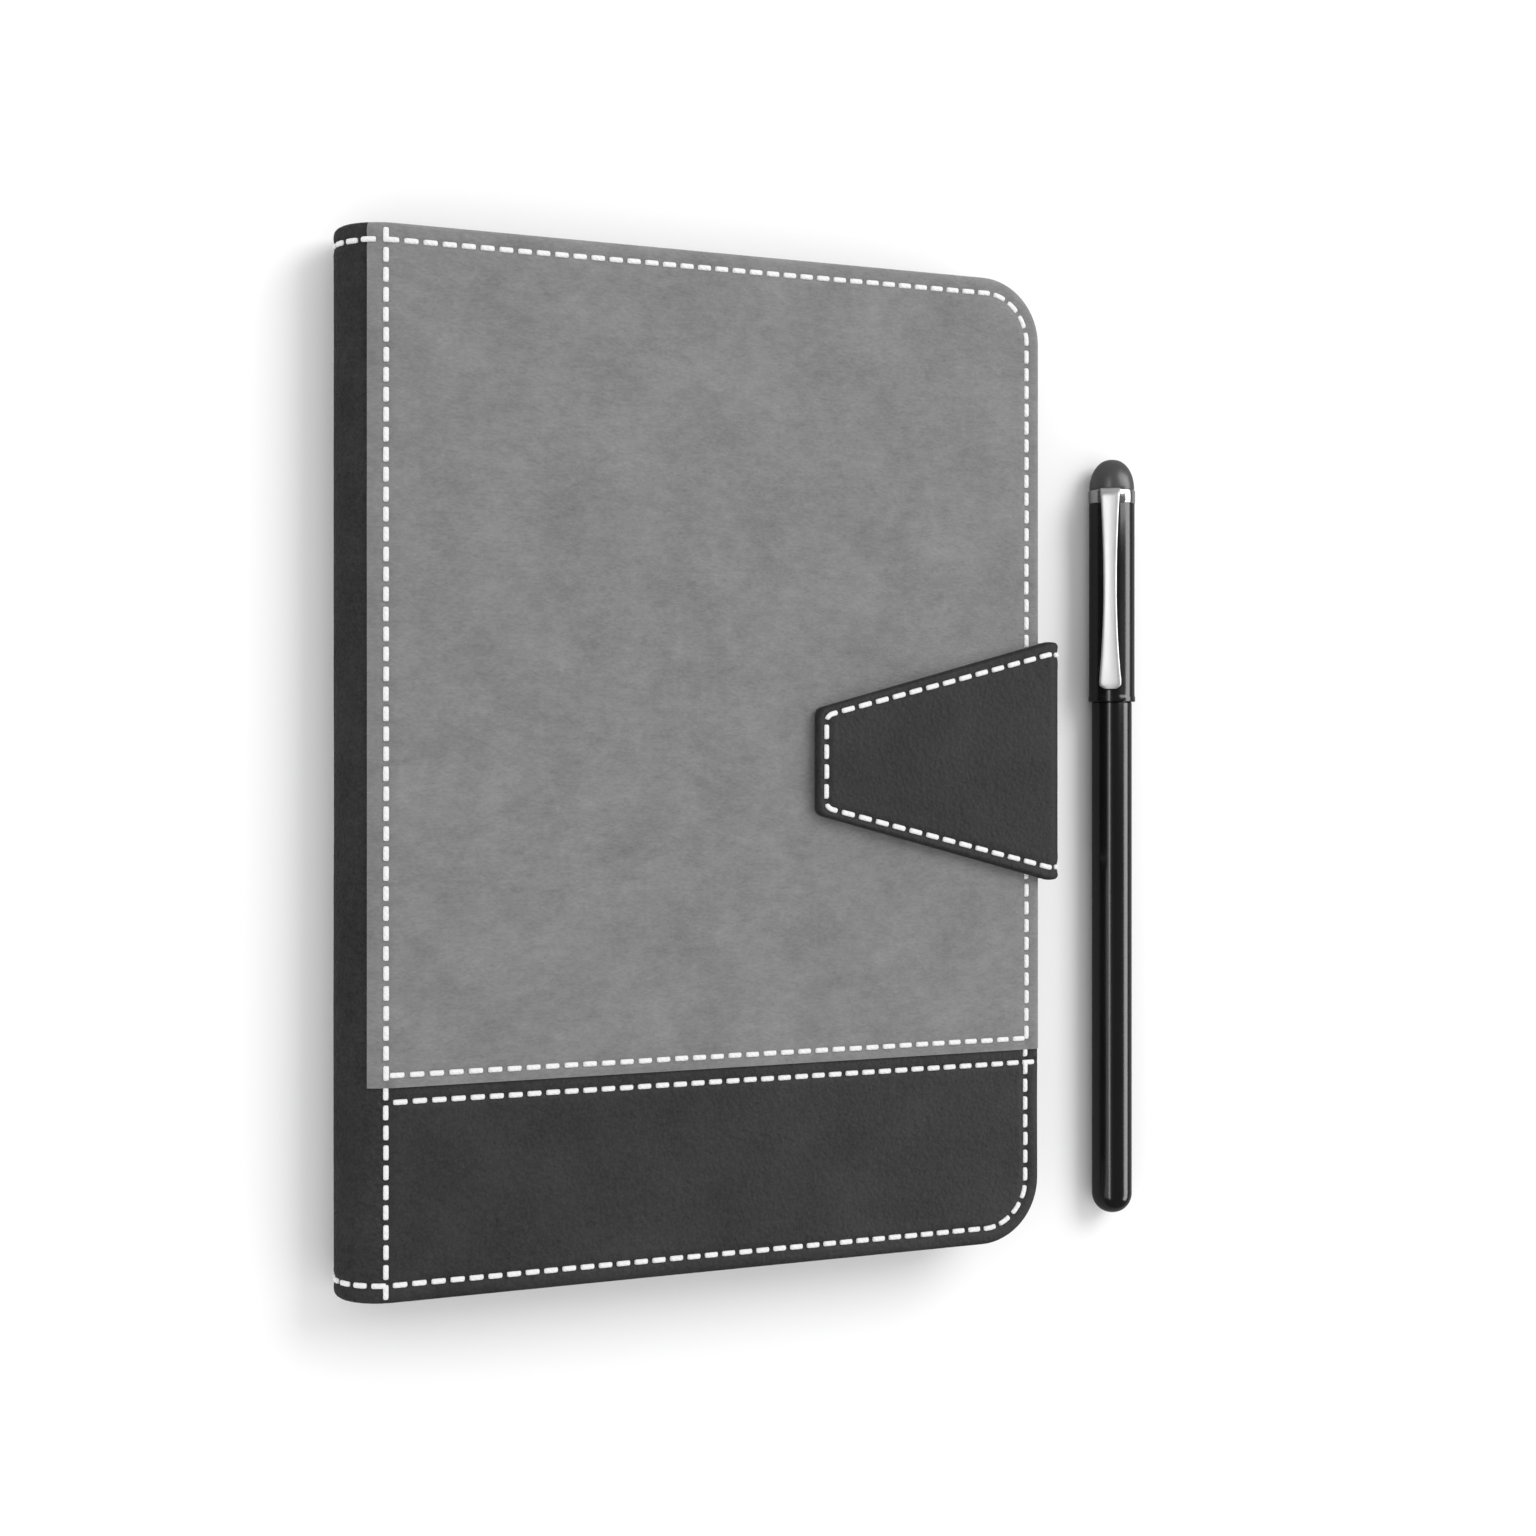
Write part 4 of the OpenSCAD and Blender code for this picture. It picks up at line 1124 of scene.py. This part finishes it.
def dress_cad():
    """Materials, and small rounded edges, for the CAD nodes that stay."""
    bevels = {"device_housing": 0.5, "front_bezel": 0.35, "holder_tray": 0.25, "touch_glass": 0.2,
              "power_button": 0.3, "volume_rocker": 0.3, "home_button": 0.25}
    for material, nodes in CAD_FINISHES:
        for node in nodes:
            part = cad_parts[node]
            part.data.materials.clear()
            part.data.materials.append(material)
            if node in bevels:
                bevel = part.modifiers.new("soft_edges", "BEVEL")
                bevel.width = bevels[node] * MM
                bevel.segments = 3
                bevel.limit_method = "ANGLE"
                bevel.angle_limit = math.radians(50)


# ---------- stage, light and camera ----------

def make_stage():
    """A white floor, dimmer in reflections."""
    mesh = bpy.data.meshes.new("floor")
    half = 8.0
    mesh.from_pydata([(-half, -half, 0), (half, -half, 0), (half, half, 0), (-half, half, 0)], [],
                     [(0, 1, 2, 3)])
    floor = bpy.data.objects.new("floor", mesh)
    bpy.context.scene.collection.objects.link(floor)
    material, tree, surface = new_material("floor_white")
    path = tree.nodes.new("ShaderNodeLightPath")
    tone = ramp_node(tree, path.outputs["Is Glossy Ray"], [(0, grey(0.93)), (1, grey(0.25))])
    tree.links.new(tone, surface.inputs["Base Color"])
    set_values(surface, Roughness=0.9, Specular_IOR_Level=0.0)
    mesh.materials.append(material)


def area_light(name, place, target, size, power, reflection_only=False):
    """A rectangular light that faces its target."""
    data = bpy.data.lights.new(name, "AREA")
    data.shape = "RECTANGLE"
    data.size, data.size_y = size
    data.energy = power
    light = bpy.data.objects.new(name, data)
    ahead = (Vector(target) - Vector(place)).normalized()
    across = Vector((0, 1, 0)).cross(ahead).normalized()
    light.location = place
    light.rotation_mode = "QUATERNION"
    light.rotation_quaternion = Matrix((across, ahead.cross(-across), -ahead)).transposed().to_quaternion()
    light.visible_diffuse = not reflection_only
    bpy.context.scene.collection.objects.link(light)


def make_light():
    """A white studio with dark flags: even soft light, but dim surroundings in the reflections."""
    world = bpy.data.worlds.new("studio")
    world.use_nodes = True
    tree = world.node_tree
    background = tree.nodes["Background"]
    background.inputs["Color"].default_value = (1, 1, 1, 1)
    path = tree.nodes.new("ShaderNodeLightPath")
    strength = range_node(tree, path.outputs["Is Glossy Ray"], 0.85, 0.12)
    tree.links.new(strength, background.inputs["Strength"])
    bpy.context.scene.world = world
    pen = Vector((pen_x, -15, pen_z)) * MM
    area_light("key", (0.5, 0.5, 0.8), (0, 0, 0), (0.6, 0.6), 5.0)
    area_light("fill", (-0.7, 0, 0.45), (0, 0, 0), (0.5, 1.0), 1.3)
    area_light("strip_right", pen + Vector((0.58, 0, 0.40)), pen, (0.34, 1.0), 5.5, True)
    area_light("strip_left", pen + Vector((-0.65, 0, 0.63)), pen, (0.12, 1.2), 2.1, True)


def make_camera():
    """The photograph looks down on the folio from the spine's side, 25 degrees off straight down."""
    tilt = math.radians(25)
    ahead = Vector((math.sin(tilt), 0, -math.cos(tilt)))
    right = Vector((math.cos(tilt), 0, math.sin(tilt)))
    seam = Vector((spine_x + seam_s, 3.1, shell_z + panel_t))
    camera_data = bpy.data.cameras.new("camera")
    camera = bpy.data.objects.new("camera", camera_data)
    aside, distance = 66.7, 426.3
    camera.location = (seam + aside * right - distance * ahead) * MM
    camera.rotation_mode = "QUATERNION"
    camera.rotation_quaternion = Matrix((right, (0, 1, 0), -ahead)).transposed().to_quaternion()
    camera_data.sensor_width = 36
    camera_data.lens = 57.07
    camera_data.shift_y = -0.0148
    camera_data.clip_start, camera_data.clip_end = 0.01, 10
    bpy.context.scene.collection.objects.link(camera)
    bpy.context.scene.camera = camera
    bpy.context.scene.view_settings.view_transform = "Standard"


make_front()
make_spine()
make_back_and_linings()
make_folio_threads()
make_tab()
make_pen()
make_clip()
make_loop()
dress_cad()
make_stage()
make_light()
make_camera()
